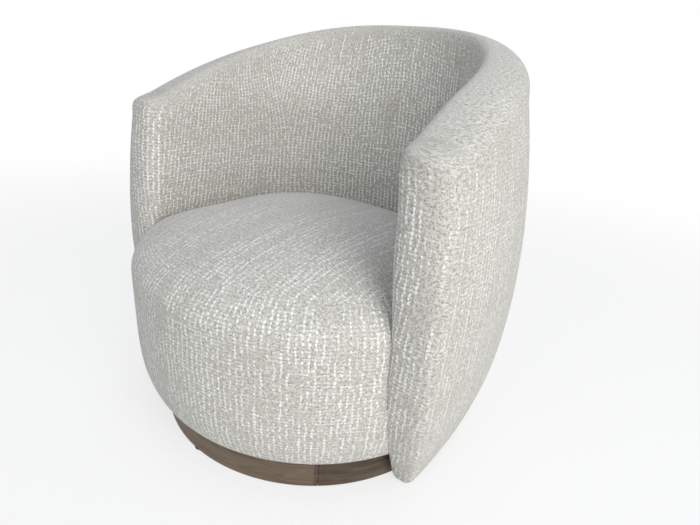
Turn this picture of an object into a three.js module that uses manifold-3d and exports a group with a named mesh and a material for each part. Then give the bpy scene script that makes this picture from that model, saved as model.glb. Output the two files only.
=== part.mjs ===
// Swivel barrel chair: an upholstered shell and a domed seat drum turning on a round wooden plinth.
// Millimetres, +Z up. The chair faces -Y and its left arm lies towards +X.
// Heights count from the floor, and plan places from the swivel axis, until the last lines centre the chair.

import * as THREE from "three";
import { mergeVertices } from "three/addons/utils/BufferGeometryUtils.js";
import Module from "manifold-3d";

const wasm = await Module();
wasm.setup();

// Driving sizes of the whole body
const bodyHalfWidth = 400;
const bodyBackReach = 356;
const bodyHeight = 783;
const bulgeHeight = 328;
const floorClearance = 7;
const outlineForward = 46;
const outerPower = 2.5;
const innerArmPower = 3.2;
const innerBackPower = 2.7;

// How far the shell draws in from its fullest height to its foot and to its top
const footDrawWidth = 55;
const footDrawDepth = 15;
const topDrawWidth = 80;
const topDrawDepth = 44;
const footCurvePower = 2.3;
const topCurvePower = 1.9;

// Arm fronts, squarer at the foot and softer towards the top
const armFrontReach = 212;
const footDrawFront = 79;
const topDrawFront = 34;
const footNoseDepth = 18;
const footNosePower = 3;
const topNoseDepth = 46;
const topNosePower = 2.4;
const noseSoftStart = 150;
const noseSoftEnd = 640;

// Inner face of the shell: it swells inwards above the seat and under the rim, and draws in at the foot
const lowInnerHalfWidth = 316;
const lowInnerHalfDepth = 312;
const highInnerHalfWidth = 287;
const highInnerHalfDepth = 301;
const innerSwellStart = 273;
const innerSwellEnd = 503;
const rimSwell = 22;
const rimSwellStart = 480;
const rimSwellEnd = 640;
const rimBackPower = 2.4;
const innerFootDraw = 11;
const innerFootHeight = 223;
const hemHeight = 338;
const armHemHeight = 120;

// Rim of the shell: it falls from the back to the arm fronts, bowed up a little between them, and carries a
// rounded roll whose crown lies nearer the inner face
const rimFallShare = 0.345;
const rimBow = 12;
const rimBowSkew = 1.8;
const rollHeight = 48;
const rollPower = 2.8;
const crownShare = 0.75;

// Seat drum and its dome
const drumRadius = 373;
const drumBottom = 74;
const drumFootDraw = 27;
const drumFootPower = 4;
const drumFullHeight = 246;
const domeStart = 321;
const domeRise = 103;
const domePower = 2.2;
const seatHalfWidth = 338;
const seatHalfDepth = 322;
const seatPower = 3.2;

// Covers, padding and the gaps between pieces
const coverThickness = 4;
const fitGap = 0.3;
const paddingGap = 2;
const backPadGap = 4;
const seatGap = 1.5;
const overrun = 10;

// Plinth
const plinthRadius = 325;
const plinthHeight = 67;
const plinthWall = 22;
const plinthSegments = 4;
const plinthJointDegrees = -48;
const glideRadius = 12;
const glideHeight = 2;
const boardThickness = 15;

// Swivel bearing
const swivelPlateSide = 280;
const swivelPlateThickness = 3;
const ballDiameter = 8;
const ballCount = 8;
const ballCircleRadius = 115;
const cageThickness = 2.4;
const cageHalfWidth = 9;
const ballCageClearance = 0.4;
const pinRadius = 8;
const pinHeadRadius = 14;
const pinHeadHeight = 2.5;
const plateFixingInset = 18;
const screwShankRadius = 2.2;
const screwHeadRadius = 4.5;
const screwHeadHeight = 2.5;
const screwLength = 12;

// Body frame
const bodyBoardThickness = 18;
const dustCoverThickness = 0.8;
const dustCoverOpeningRadius = 205;
const skirtThickness = 8;
const skirtFootGap = 3;
const footprintFrontLine = -85;
const ribDepth = 40;
const ribWidth = 18;
const ribEdgeGap = 4;
const ribStations = [2, 5, 7, 10, 13, 15, 18];
const railHeight = 25;
const railBelowShoulder = 5;
const frontBoardBack = 12;
const frontBoardPadding = 3;

// Seat frame
const deckHeight = 303;
const deckThickness = 18;
const deckOpeningShare = 0.68;
const uprightCount = 6;
const uprightPlaceShare = 0.82;
const uprightWidth = 60;
const uprightDepth = 25;
const frontPanelThickness = 6;
const frontPanelLine = -222;
const coverTrimLine = -95;
const strapWidth = 50;
const strapThickness = 2;
const sideStrapReach = 262;
const longStrapReach = 272;
const sideStrapSpacing = 110;
const longStrapSpacing = 150;

// Counts of the mesh
const stationCount = 21;
const noseCount = 4;
const seatSides = 40;
const roundSides = 48;
const pinSides = 24;
const smallSides = 12;
const wallLevelShares = [0, 0.12, 0.25, 0.42, 0.6, 0.8, 1];
const shoulderShares = [0.3, 0.63, 1];
const outerRollDegrees = [22, 44, 64, 80];
const cavityRollDegrees = [35, 70];
const skirtLevelShares = [0, 0.35, 0.7, 1];
const ribLevelShares = [0, 0.2, 0.4, 0.6, 0.8, 1];
const seatSideShares = [0, 0.08, 0.2, 0.38, 0.68, 1];
const domeShares = [0.985, 0.93, 0.84, 0.7, 0.52, 0.32, 0.14];

// Heights of the stack from the plinth's board to the seat
const bodyBoardBottom = drumBottom + dustCoverThickness + fitGap;
const bodyBoardTop = bodyBoardBottom + bodyBoardThickness;
const upperPlateTop = bodyBoardBottom - fitGap;
const upperPlateBottom = upperPlateTop - swivelPlateThickness;
const ballCentreHeight = upperPlateBottom - fitGap - ballDiameter / 2;
const lowerPlateTop = ballCentreHeight - ballDiameter / 2 - fitGap;
const lowerPlateBottom = lowerPlateTop - swivelPlateThickness;
const plinthBoardTop = lowerPlateBottom - fitGap;
const deckTop = deckHeight + deckThickness;
const foamBottom = deckTop + 2 * (strapThickness + fitGap) + fitGap;

const material = (color, roughness, metalness = 0) => (
  new THREE.MeshStandardMaterial({ color, roughness, metalness }));
const fabric = material(0xc8c4bb, 0.95);
const lining = material(0x2b2a29, 0.9);
const foam = material(0xe6dfc4, 1);
const stainedWood = material(0x6d5c4b, 0.55);
const plywood = material(0xb8966a, 0.7);
const steel = material(0x8d9094, 0.35, 0.9);
const nylon = material(0x33312f, 0.5);
const jute = material(0x8a7a5c, 0.95);

const mix = THREE.MathUtils.lerp;
const ease = (share) => THREE.MathUtils.smoothstep(share, 0, 1);
const radians = THREE.MathUtils.degToRad;

// Shell surface

// A size that is fullest at the bulge and draws in below and above it
function barrel(height, fullest, footDraw, topDraw) {
  const below = Math.max(0, (bulgeHeight - height) / bulgeHeight);
  const above = Math.max(0, (height - bulgeHeight) / (bodyHeight - bulgeHeight));
  return fullest - footDraw * below ** footCurvePower - topDraw * above ** topCurvePower;
}

const innerSwell = (height) => ease((height - innerSwellStart) / (innerSwellEnd - innerSwellStart));
const frontReach = (height) => barrel(height, armFrontReach, footDrawFront, topDrawFront);
const noseSoftness = (height) => ease((height - noseSoftStart) / (noseSoftEnd - noseSoftStart));
const noseDepth = (height) => mix(footNoseDepth, topNoseDepth, noseSoftness(height));
const nosePower = (height) => mix(footNosePower, topNosePower, noseSoftness(height));
const noseBase = (height) => noseDepth(height) - frontReach(height);

// Outline about the body's centre, which may be squarer before the centre than behind it
const superellipse = (halfWidth, halfDepth, frontPower, backPower = frontPower) => (
  { halfWidth, halfDepth, frontPower, backPower });

// Half axes and powers of the shell's outer or inner outline at a height, moved into the wall by an inset
function outline(outer, height, inset) {
  if (outer) {
    const halfDepth = barrel(height, bodyBackReach + outlineForward, footDrawDepth, topDrawDepth);
    const halfWidth = barrel(height, bodyHalfWidth, footDrawWidth, topDrawWidth);
    return superellipse(halfWidth - inset, halfDepth - inset, outerPower);
  }
  const swell = innerSwell(height);
  const footShare = Math.max(0, (innerFootHeight - height) / innerFootHeight);
  const underRim = ease((height - rimSwellStart) / (rimSwellEnd - rimSwellStart));
  const halfWidth = mix(lowInnerHalfWidth, highInnerHalfWidth, swell) - innerFootDraw * footShare ** 2
    - rimSwell * underRim;
  const halfDepth = mix(lowInnerHalfDepth, highInnerHalfDepth, swell);
  const backPower = mix(innerBackPower, rimBackPower, underRim);
  return superellipse(halfWidth + inset, halfDepth + inset, innerArmPower, backPower);
}

// Distance from the outline's centre to the outline, in a direction
function outlineReach({ halfWidth, halfDepth, frontPower, backPower }, angle) {
  const power = Math.sin(angle) < 0 ? frontPower : backPower;
  const across = Math.abs(Math.cos(angle) / halfWidth) ** power;
  const along = Math.abs(Math.sin(angle) / halfDepth) ** power;
  return (across + along) ** (-1 / power);
}

// Direction in which an outline crosses the line at a given y, before the centre
function crossingAngle({ halfWidth, halfDepth, frontPower }, y) {
  const along = y + outlineForward;
  const across = halfWidth * (1 - Math.min(1, Math.abs(along / halfDepth)) ** frontPower) ** (1 / frontPower);
  return Math.atan2(along, across);
}

// Point of the wall at a station, counted from the left arm's front round the back to the right arm's front
function wallPoint(outer, station, height, inset = 0, setback = 0) {
  const shape = outline(outer, height, inset);
  const first = crossingAngle(shape, noseBase(height));
  const last = stationCount - 1;
  let angle = mix(first, Math.PI - first, station / last);
  if (station === 0) angle = crossingAngle(shape, noseBase(height) + setback);
  if (station === last) angle = Math.PI - crossingAngle(shape, noseBase(height) + setback);
  const reach = outlineReach(shape, angle);
  return new THREE.Vector3(reach * Math.cos(angle), reach * Math.sin(angle) - outlineForward, height);
}

const stations = [...Array(stationCount).keys()];
const middleStation = (stationCount - 1) / 2;

// Middle of the wall's thickness at a station, which sets the height of the rim there
const wallMiddle = (station) => wallPoint(true, station, innerSwellEnd)
  .lerp(wallPoint(false, station, innerSwellEnd), 0.5);
const rimBackReach = wallMiddle(middleStation).y;
const rimLength = rimBackReach - wallMiddle(0).y;
const rimHeights = stations.map((station) => {
  const forward = rimBackReach - wallMiddle(station).y;
  const bow = Math.sin(Math.PI * (forward / rimLength) ** rimBowSkew);
  return bodyHeight - rimFallShare * forward + rimBow * bow;
});
const shoulderHeights = rimHeights.map((height) => height - rollHeight);

// The inner face reaches the foot only at the arm fronts; its hem climbs there and stops behind the seat
const hemHeights = stations.map((station) => {
  const fromFront = Math.min(station, stationCount - 1 - station);
  return [floorClearance, armHemHeight][fromFront] ?? hemHeight;
});

// Rounded arm front between two points of the wall, from the first to the second, falling as it comes forward
function nose(from, to, forward, power, fallShare = 0) {
  const middle = from.clone().lerp(to, 0.5);
  const half = from.clone().sub(to).multiplyScalar(0.5);
  const points = [];
  for (let index = 1; index <= noseCount; index += 1) {
    const angle = (Math.PI * index) / (noseCount + 1);
    const sideways = Math.sign(Math.cos(angle)) * Math.abs(Math.cos(angle)) ** (2 / power);
    const outwards = Math.sin(angle) ** (2 / power);
    const point = middle.clone().addScaledVector(half, sideways);
    point.y -= forward * outwards;
    point.z -= fallShare * forward * outwards;
    points.push(point);
  }
  return points;
}

// Closed loop round the whole wall: outer face, right arm front, inner face, left arm front
function wallLoop(outerPoints, innerPoints, forward, power, fallShare) {
  const last = stationCount - 1;
  const rightNose = nose(outerPoints[last], innerPoints[last], forward, power, fallShare);
  const leftNose = nose(innerPoints[0], outerPoints[0], forward, power, fallShare);
  return [...outerPoints, ...rightNose, ...innerPoints.slice().reverse(), ...leftNose];
}

// Heights of a loop below the shoulder, from the foot of each face upwards
function levelHeights(level, foots) {
  if (level < wallLevelShares.length) {
    const share = wallLevelShares[level];
    return foots.map((foot) => mix(foot, innerSwellEnd, share));
  }
  const share = shoulderShares[level - wallLevelShares.length];
  return shoulderHeights.map((shoulder) => mix(innerSwellEnd, shoulder, share));
}

const levelCount = wallLevelShares.length + shoulderShares.length;

function levelLoop(level, inset) {
  const outerHeights = levelHeights(level, stations.map(() => floorClearance));
  const innerHeights = levelHeights(level, hemHeights);
  const outerPoints = stations.map((station) => wallPoint(true, station, outerHeights[station], inset));
  const innerPoints = stations.map((station) => wallPoint(false, station, innerHeights[station], inset));
  return wallLoop(outerPoints, innerPoints, noseDepth(outerHeights[0]) - inset, nosePower(outerHeights[0]));
}

// Loop of the rounded rim, at an angle up from the shoulder
function rollLoop(degrees, inset) {
  const angle = radians(degrees);
  const inwards = Math.cos(angle) ** (2 / rollPower);
  const rise = (rollHeight - inset) * Math.sin(angle) ** (2 / rollPower);
  const side = (outer) => stations.map((station) => {
    const point = wallPoint(outer, station, shoulderHeights[station], inset);
    const other = wallPoint(!outer, station, shoulderHeights[station], inset);
    const crown = point.clone().lerp(other, outer ? crownShare : 1 - crownShare);
    const moved = crown.lerp(point, inwards);
    moved.z += rise;
    return moved;
  });
  const forward = (noseDepth(shoulderHeights[0]) - inset) * (1 - (1 - inwards) ** 3);
  return wallLoop(side(true), side(false), forward, nosePower(shoulderHeights[0]), rimFallShare);
}

// Meshes

function geometryOf(points, triangles) {
  const geometry = new THREE.BufferGeometry();
  const numbers = points.flatMap((point) => [point.x, point.y, point.z]);
  geometry.setAttribute("position", new THREE.Float32BufferAttribute(numbers, 3));
  geometry.setIndex(triangles);
  return geometry;
}

// Triangles that close a loop made by wallLoop, or by bandLoop when the arm fronts are flat
function stripCap(count, noses) {
  const last = stationCount - 1;
  const inner = (station) => stationCount + noses + last - station;
  const triangles = [];
  for (let station = 0; station < last; station += 1) {
    triangles.push([station, station + 1, inner(station + 1)]);
    triangles.push([station, inner(station + 1), inner(station)]);
  }
  for (let index = 0; index < noses; index += 1) {
    triangles.push([inner(last), last + index, last + index + 1]);
    triangles.push([inner(0), inner(0) + index + 1, (inner(0) + index + 2) % count]);
  }
  return triangles;
}

const fanCap = (count) => [...Array(count - 2).keys()].map((index) => [0, index + 1, index + 2]);

// Solid through a stack of loops that all turn anticlockwise seen from above
function loft(loops, cap) {
  const count = loops[0].length;
  const top = (loops.length - 1) * count;
  const triangles = [];
  for (let level = 0; level < loops.length - 1; level += 1) {
    for (let side = 0; side < count; side += 1) {
      const next = (side + 1) % count;
      const low = level * count;
      const high = low + count;
      triangles.push(low + side, low + next, high + next, low + side, high + next, high + side);
    }
  }
  for (const [a, b, c] of cap) triangles.push(c, b, a, top + a, top + b, top + c);
  return geometryOf(loops.flat(), triangles);
}

// Solid of revolution about the axis whose profile runs up its outside; points are [radius, height]
function turned(profile, sides = roundSides) {
  const points = profile.map(([radius, height]) => new THREE.Vector2(radius, height));
  return new THREE.LatheGeometry(points, sides).rotateX(Math.PI / 2);
}

const disc = (radius, bottom, top, sides) => turned(
  [[0, bottom], [radius, bottom], [radius, top], [0, top]], sides);
const tube = (inside, outside, bottom, top, sides) => turned(
  [[inside, bottom], [outside, bottom], [outside, top], [inside, top], [inside, bottom]], sides);

function block(width, depth, height, x, y, bottom) {
  return new THREE.BoxGeometry(width, depth, height).translate(x, y, bottom + height / 2);
}

// Booleans

function solidOf(geometry) {
  const plain = geometry.clone();
  plain.deleteAttribute("normal");
  plain.deleteAttribute("uv");
  const merged = mergeVertices(plain);
  const corners = merged.getIndex().array;
  const triVerts = [];
  for (let index = 0; index < corners.length; index += 3) {
    const [a, b, c] = corners.slice(index, index + 3);
    if (a !== b && b !== c && c !== a) triVerts.push(a, b, c);
  }
  const vertProperties = new Float32Array(merged.getAttribute("position").array);
  const mesh = new wasm.Mesh({ numProp: 3, vertProperties, triVerts: new Uint32Array(triVerts) });
  return new wasm.Manifold(mesh);
}

function geometryOfSolid(solid) {
  const { vertProperties, triVerts } = solid.getMesh();
  const geometry = new THREE.BufferGeometry();
  geometry.setAttribute("position", new THREE.BufferAttribute(new Float32Array(vertProperties), 3));
  geometry.setIndex([...triVerts]);
  return geometry;
}

// Cutting blocks between two heights: as wide as any piece, before a line across the chair, and behind one
const beyond = 2 * bodyHalfWidth;
const slab = (bottom, top) => solidOf(block(2 * beyond, 2 * beyond, top - bottom, 0, 0, bottom));
const ahead = (line, bottom, top) => solidOf(
  block(2 * beyond, beyond, top - bottom, 0, line - beyond / 2, bottom));
const behind = (line, bottom, top) => solidOf(
  block(2 * beyond, beyond, top - bottom, 0, line + beyond / 2, bottom));

// Shell pieces

const coverCap = stripCap(2 * stationCount + 2 * noseCount, noseCount);
const bandCap = stripCap(2 * stationCount, 0);
const levels = [...Array(levelCount).keys()];
const shoulderLevel = levelCount - 1;

// Solid that fills the whole shell, grown by a gap, used to cut what it surrounds
function shellBlock(grow) {
  const loops = levels.map((level) => levelLoop(level, -grow));
  loops.unshift(loops[0].map((point) => point.clone().setZ(floorClearance - overrun)));
  loops.push(...outerRollDegrees.map((degrees) => rollLoop(degrees, -grow)));
  return solidOf(loft(loops, coverCap));
}

// Fabric over the outside, the rim, the inner face and the arm fronts, open at its hem
function backCover() {
  const cavity = levels.map((level) => levelLoop(level, coverThickness));
  cavity.push(...cavityRollDegrees.map((degrees) => rollLoop(degrees, coverThickness)));
  const outside = levels.map((level) => levelLoop(level, 0));
  outside.push(...outerRollDegrees.map((degrees) => rollLoop(degrees, 0)));
  return loft([...cavity.reverse(), ...outside], coverCap);
}

// C-shaped piece between two faces, each a function of station and height, through rows of heights
function band(outerFace, innerFace, rows) {
  const loops = rows.map((heights) => {
    const outerPoints = stations.map((station) => outerFace(station, heights[station]));
    const innerPoints = stations.map((station) => innerFace(station, heights[station]));
    return [...outerPoints, ...innerPoints.reverse()];
  });
  return loft(loops, bandCap);
}

const linerInset = coverThickness + paddingGap;
const bandSetback = frontBoardBack + seatGap;
const outerAt = (inset, setback = bandSetback) => (station, height) => wallPoint(
  true, station, height, inset, setback);
const innerAt = (inset, setback = bandSetback) => (station, height) => wallPoint(
  false, station, height, inset, setback);
const flat = (height) => stations.map(() => height);
const belowShoulder = (distance) => shoulderHeights.map((height) => height - distance);

const skirtBand = () => band(outerAt(linerInset), outerAt(linerInset + skirtThickness),
  skirtLevelShares.map((share) => flat(mix(floorClearance + skirtFootGap, bodyBoardTop, share))));

// Rail on the ribs, grown up and down when it stands for the space that it needs
const topRail = (grow = 0) => band(outerAt(linerInset), innerAt(linerInset),
  [belowShoulder(railBelowShoulder + railHeight + grow), belowShoulder(railBelowShoulder - grow)]);
const cutByRail = (geometry) => geometryOfSolid(solidOf(geometry).subtract(solidOf(topRail(fitGap))));

// Padding of the inner face, from the height of the cover's hem to the rail
function backPad() {
  const rows = levels.slice(0, shoulderLevel).map((level) => levelHeights(level, flat(hemHeight)));
  rows.push(belowShoulder(railBelowShoulder + railHeight / 2));
  const setback = bandSetback + paddingGap;
  const outerFace = outerAt(linerInset + ribDepth + fitGap, setback);
  return cutByRail(band(outerFace, innerAt(linerInset + backPadGap, setback), rows));
}

function topRollPad() {
  const heights = belowShoulder(railBelowShoulder - fitGap);
  const outerPoints = stations.map((station) => wallPoint(true, station, heights[station], linerInset));
  const innerPoints = stations.map((station) => wallPoint(false, station, heights[station], linerInset));
  const base = wallLoop(outerPoints, innerPoints, noseDepth(heights[0]) - linerInset, nosePower(heights[0]));
  const roll = cavityRollDegrees.map((degrees) => rollLoop(degrees, linerInset));
  return loft([base, ...roll], coverCap);
}

// Upright of the shell: a board square to the wall, whose edges follow the barrel
function backRib(station) {
  const foot = wallPoint(true, station, bulgeHeight);
  const angle = Math.atan2(foot.y + outlineForward, foot.x);
  const inwards = new THREE.Vector3(-Math.cos(angle), -Math.sin(angle), 0);
  const sideways = new THREE.Vector3(-Math.sin(angle), Math.cos(angle), 0).multiplyScalar(ribWidth / 2);
  const bottom = bodyBoardTop + fitGap;
  const top = shoulderHeights[station] - railBelowShoulder - railHeight / 2;
  const loops = ribLevelShares.map((share) => {
    const height = mix(bottom, top, share);
    const reach = outlineReach(outline(true, height, linerInset + ribEdgeGap), angle);
    const near = new THREE.Vector3(0, -outlineForward, height).addScaledVector(inwards, -reach);
    const far = near.clone().addScaledVector(inwards, ribDepth - 2 * ribEdgeGap);
    const corner = (point, side) => point.clone().addScaledVector(sideways, side);
    return [corner(far, -1), corner(near, -1), corner(near, 1), corner(far, 1)];
  });
  return cutByRail(loft(loops, fanCap(4)));
}

// Board behind an arm front, rounded like the front itself; side is 1 for the left arm and -1 for the right
function armFrontBoard(side) {
  const inset = coverThickness + frontBoardPadding;
  const heights = levels.map((level) => levelHeights(level, flat(floorClearance))[0]);
  heights[0] += skirtFootGap;
  heights[shoulderLevel] -= railBelowShoulder;
  const loops = heights.map((height) => {
    const outer = wallPoint(true, 0, height, inset);
    const inner = wallPoint(false, 0, height, inset);
    const backOf = (point) => point.clone().setY(noseBase(height) + frontBoardBack);
    const front = nose(inner, outer, noseDepth(height) - inset, nosePower(height));
    const points = [backOf(outer), backOf(inner), inner, ...front, outer];
    if (side > 0) return points;
    return points.map((point) => point.clone().setX(-point.x)).reverse();
  });
  return loft(loops, fanCap(loops[0].length));
}

// Seat pieces

function drumReach(height) {
  const below = Math.max(0, (drumFullHeight - height) / (drumFullHeight - drumBottom));
  return drumRadius - drumFootDraw * below ** drumFootPower;
}

// Distance from the outline's centre to the drum's circle before the arms, or to the seat's outline behind
function seatReach(angle, height, inset) {
  const radius = drumReach(height) - inset;
  const circle = outlineForward * Math.sin(angle)
    + Math.sqrt(radius ** 2 - (outlineForward * Math.cos(angle)) ** 2);
  const armAngle = crossingAngle(superellipse(seatHalfWidth, seatHalfDepth, seatPower), noseBase(height));
  if (Math.sin(angle) < Math.sin(armAngle)) return circle;
  const seat = superellipse(seatHalfWidth - inset, seatHalfDepth - inset, seatPower);
  return Math.min(circle, outlineReach(seat, angle));
}

function seatLoop(planHeight, inset, share, height) {
  return [...Array(seatSides).keys()].map((index) => {
    const angle = -Math.PI / 2 + (2 * Math.PI * index) / seatSides;
    const reach = share * seatReach(angle, planHeight, inset);
    return new THREE.Vector3(reach * Math.cos(angle), reach * Math.sin(angle) - outlineForward, height);
  });
}

// Domed drum moved in by an inset, before the shell is cut out of it; it runs on below the drum's foot
function seatBlock(inset) {
  const loops = [seatLoop(drumBottom, inset, 1, drumBottom - overrun)];
  for (const share of seatSideShares) {
    const height = mix(drumBottom, domeStart, share);
    loops.push(seatLoop(height, inset, 1, height));
  }
  for (const share of domeShares) {
    const height = domeStart + (domeRise - inset) * Math.sqrt(1 - share ** domePower);
    loops.push(seatLoop(domeStart, inset, share, height));
  }
  return solidOf(loft(loops, fanCap(seatSides)));
}

const seatInset = coverThickness + fitGap;
const innerSeatBlock = () => seatBlock(seatInset).subtract(shellBlock(seatGap + seatInset));

function seatCover() {
  const outside = seatBlock(0).subtract(shellBlock(seatGap)).intersect(slab(drumBottom, bodyHeight));
  const inside = seatBlock(coverThickness).subtract(shellBlock(seatGap + coverThickness));
  const hidden = behind(coverTrimLine, -overrun, deckHeight - fitGap);
  return geometryOfSolid(outside.subtract(inside).subtract(hidden));
}

const seatFoam = () => geometryOfSolid(innerSeatBlock().intersect(slab(foamBottom, bodyHeight)));

function seatDeck() {
  const opening = seatLoop(deckHeight, 0, deckOpeningShare, 0);
  const raised = (height) => opening.map((point) => point.clone().setZ(height));
  const hole = solidOf(loft([raised(deckHeight - overrun), raised(deckTop + overrun)], fanCap(seatSides)));
  return geometryOfSolid(innerSeatBlock().intersect(slab(deckHeight, deckTop)).subtract(hole));
}

function frontPanel() {
  const inside = seatBlock(seatInset + frontPanelThickness);
  const front = ahead(frontPanelLine, bodyBoardTop + fitGap, deckHeight - fitGap);
  return geometryOfSolid(innerSeatBlock().subtract(inside).intersect(front));
}

function seatUpright(index) {
  const angle = -Math.PI / 2 + (2 * Math.PI * index) / uprightCount;
  const reach = uprightPlaceShare * seatReach(angle, deckHeight, seatInset);
  const height = deckHeight - bodyBoardTop - 2 * fitGap;
  const post = new THREE.BoxGeometry(uprightDepth, uprightWidth, height).rotateZ(angle);
  return post.translate(reach * Math.cos(angle), reach * Math.sin(angle) - outlineForward,
    bodyBoardTop + fitGap + height / 2);
}

const sideStrap = (row) => block(2 * sideStrapReach, strapWidth, strapThickness,
  0, row * sideStrapSpacing - outlineForward, deckTop + fitGap);
const longStrap = (side) => block(strapWidth, 2 * longStrapReach, strapThickness,
  side * longStrapSpacing / 2, -outlineForward, deckTop + strapThickness + 2 * fitGap);

// Body board and what hangs under it

const plateFixingPlaces = [[1, 1], [-1, 1], [-1, -1], [1, -1]]
  .map((signs) => signs.map((sign) => sign * (swivelPlateSide / 2 - plateFixingInset)));
const fixingHoles = (bottom, top) => plateFixingPlaces
  .map(([x, y]) => solidOf(disc(screwShankRadius + fitGap, bottom, top, smallSides).translate(x, y, 0)));

const cutBy = (solid, cutters) => cutters.reduce((left, cutter) => left.subtract(cutter), solid);

function bodyBoard() {
  const edge = outerAt(linerInset + skirtThickness + fitGap);
  const loopAt = (height) => stations.map((station) => edge(station, bodyBoardBottom).setZ(height));
  const footprint = solidOf(loft([loopAt(bodyBoardBottom), loopAt(bodyBoardTop)], fanCap(stationCount)));
  const back = footprint.intersect(behind(footprintFrontLine, 0, bodyHeight));
  const pinHole = pinDisc(pinHeadRadius + fitGap, 0, bodyHeight);
  const boltHoles = fixingHoles(upperPlateBottom, upperPlateTop + screwLength + fitGap);
  const board = innerSeatBlock().intersect(slab(bodyBoardBottom, bodyBoardTop)).add(back);
  return geometryOfSolid(cutBy(board, [pinHole, ...boltHoles]));
}

function dustCover() {
  const whole = innerSeatBlock().intersect(slab(drumBottom, drumBottom + dustCoverThickness));
  const opening = solidOf(disc(dustCoverOpeningRadius, 0, bodyHeight, roundSides));
  return geometryOfSolid(whole.subtract(opening));
}

// Swivel bearing

function plate(bottom, holeRadius) {
  const square = solidOf(block(swivelPlateSide, swivelPlateSide, swivelPlateThickness, 0, 0, bottom));
  const centre = pinDisc(holeRadius, 0, bodyHeight);
  const holes = fixingHoles(bottom - overrun, bottom + swivelPlateThickness + overrun);
  return geometryOfSolid(cutBy(square, [centre, ...holes]));
}

const pinDisc = (radius, bottom, top) => solidOf(disc(radius, bottom, top, pinSides));

function pivotPin() {
  const lowHead = lowerPlateBottom - fitGap;
  const highHead = upperPlateTop + fitGap;
  return turned([
    [0, lowHead - pinHeadHeight], [pinHeadRadius, lowHead - pinHeadHeight], [pinHeadRadius, lowHead],
    [pinRadius, lowHead], [pinRadius, highHead], [pinHeadRadius, highHead],
    [pinHeadRadius, highHead + pinHeadHeight], [0, highHead + pinHeadHeight],
  ], pinSides);
}

const ballPlaces = [...Array(ballCount).keys()].map((index) => {
  const angle = (2 * Math.PI * index) / ballCount;
  return [ballCircleRadius * Math.cos(angle), ballCircleRadius * Math.sin(angle)];
});

function ballCage() {
  const bottom = ballCentreHeight - cageThickness / 2;
  const ring = solidOf(tube(ballCircleRadius - cageHalfWidth, ballCircleRadius + cageHalfWidth,
    bottom, bottom + cageThickness));
  const pockets = ballPlaces.map(([x, y]) => solidOf(
    disc(ballDiameter / 2 + ballCageClearance, 0, bodyHeight, smallSides).translate(x, y, 0)));
  return geometryOfSolid(cutBy(ring, pockets));
}

const bearingBall = ([x, y]) => new THREE.SphereGeometry(ballDiameter / 2, smallSides, smallSides / 2)
  .rotateX(Math.PI / 2).translate(x, y, ballCentreHeight);

// Fixing with its head on one side of a plate; direction is 1 when the shank points up
function fixing([x, y], seatHeight, direction) {
  const height = (distance) => seatHeight + direction * distance;
  const profile = [
    [0, height(screwLength)], [screwShankRadius, height(screwLength)], [screwShankRadius, height(0)],
    [screwHeadRadius, height(0)], [screwHeadRadius, height(-screwHeadHeight)], [0, height(-screwHeadHeight)],
  ];
  return turned(direction > 0 ? profile.reverse() : profile, smallSides).translate(x, y, 0);
}

// Plinth

function plinthSegment(index) {
  const ring = solidOf(tube(plinthRadius - plinthWall, plinthRadius,
    glideHeight + fitGap, plinthHeight, 2 * roundSides));
  const span = (2 * Math.PI) / plinthSegments;
  const start = radians(plinthJointDegrees) + span * index;
  const corner = (angle, sideStep) => {
    const along = new THREE.Vector2(Math.cos(angle), Math.sin(angle)).multiplyScalar(2 * plinthRadius);
    return along.add(new THREE.Vector2(-Math.sin(angle), Math.cos(angle)).multiplyScalar(sideStep));
  };
  const first = corner(start, fitGap / 2);
  const last = corner(start + span, -fitGap / 2);
  const centre = new THREE.Vector2(Math.cos(start + span / 2), Math.sin(start + span / 2))
    .multiplyScalar(fitGap / 2 / Math.sin(span / 2));
  const wedgeShape = new THREE.Shape([centre, first, first.clone().add(last), last]);
  const wedge = solidOf(new THREE.ExtrudeGeometry(wedgeShape, { depth: bodyHeight, bevelEnabled: false }));
  return geometryOfSolid(ring.intersect(wedge));
}

function plinthBoard() {
  const bottom = plinthBoardTop - boardThickness;
  const board = solidOf(disc(plinthRadius - plinthWall - fitGap, bottom, plinthBoardTop, 2 * roundSides));
  const pinHole = pinDisc(pinHeadRadius + fitGap, 0, bodyHeight);
  const screwHoles = fixingHoles(lowerPlateTop - screwLength - fitGap, bodyHeight);
  return geometryOfSolid(cutBy(board, [pinHole, ...screwHoles]));
}

function glide(index) {
  const angle = radians(plinthJointDegrees) + (2 * Math.PI * (index + 0.5)) / plinthSegments;
  const reach = plinthRadius - plinthWall / 2;
  const pad = disc(glideRadius, 0, glideHeight, smallSides);
  return pad.translate(reach * Math.cos(angle), reach * Math.sin(angle), 0);
}

// Assembly

const chair = new THREE.Group();
chair.position.y = (drumRadius - bodyBackReach) / 2;

function add(name, geometry, look) {
  const mesh = new THREE.Mesh(geometry, look);
  mesh.name = name;
  chair.add(mesh);
}

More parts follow.
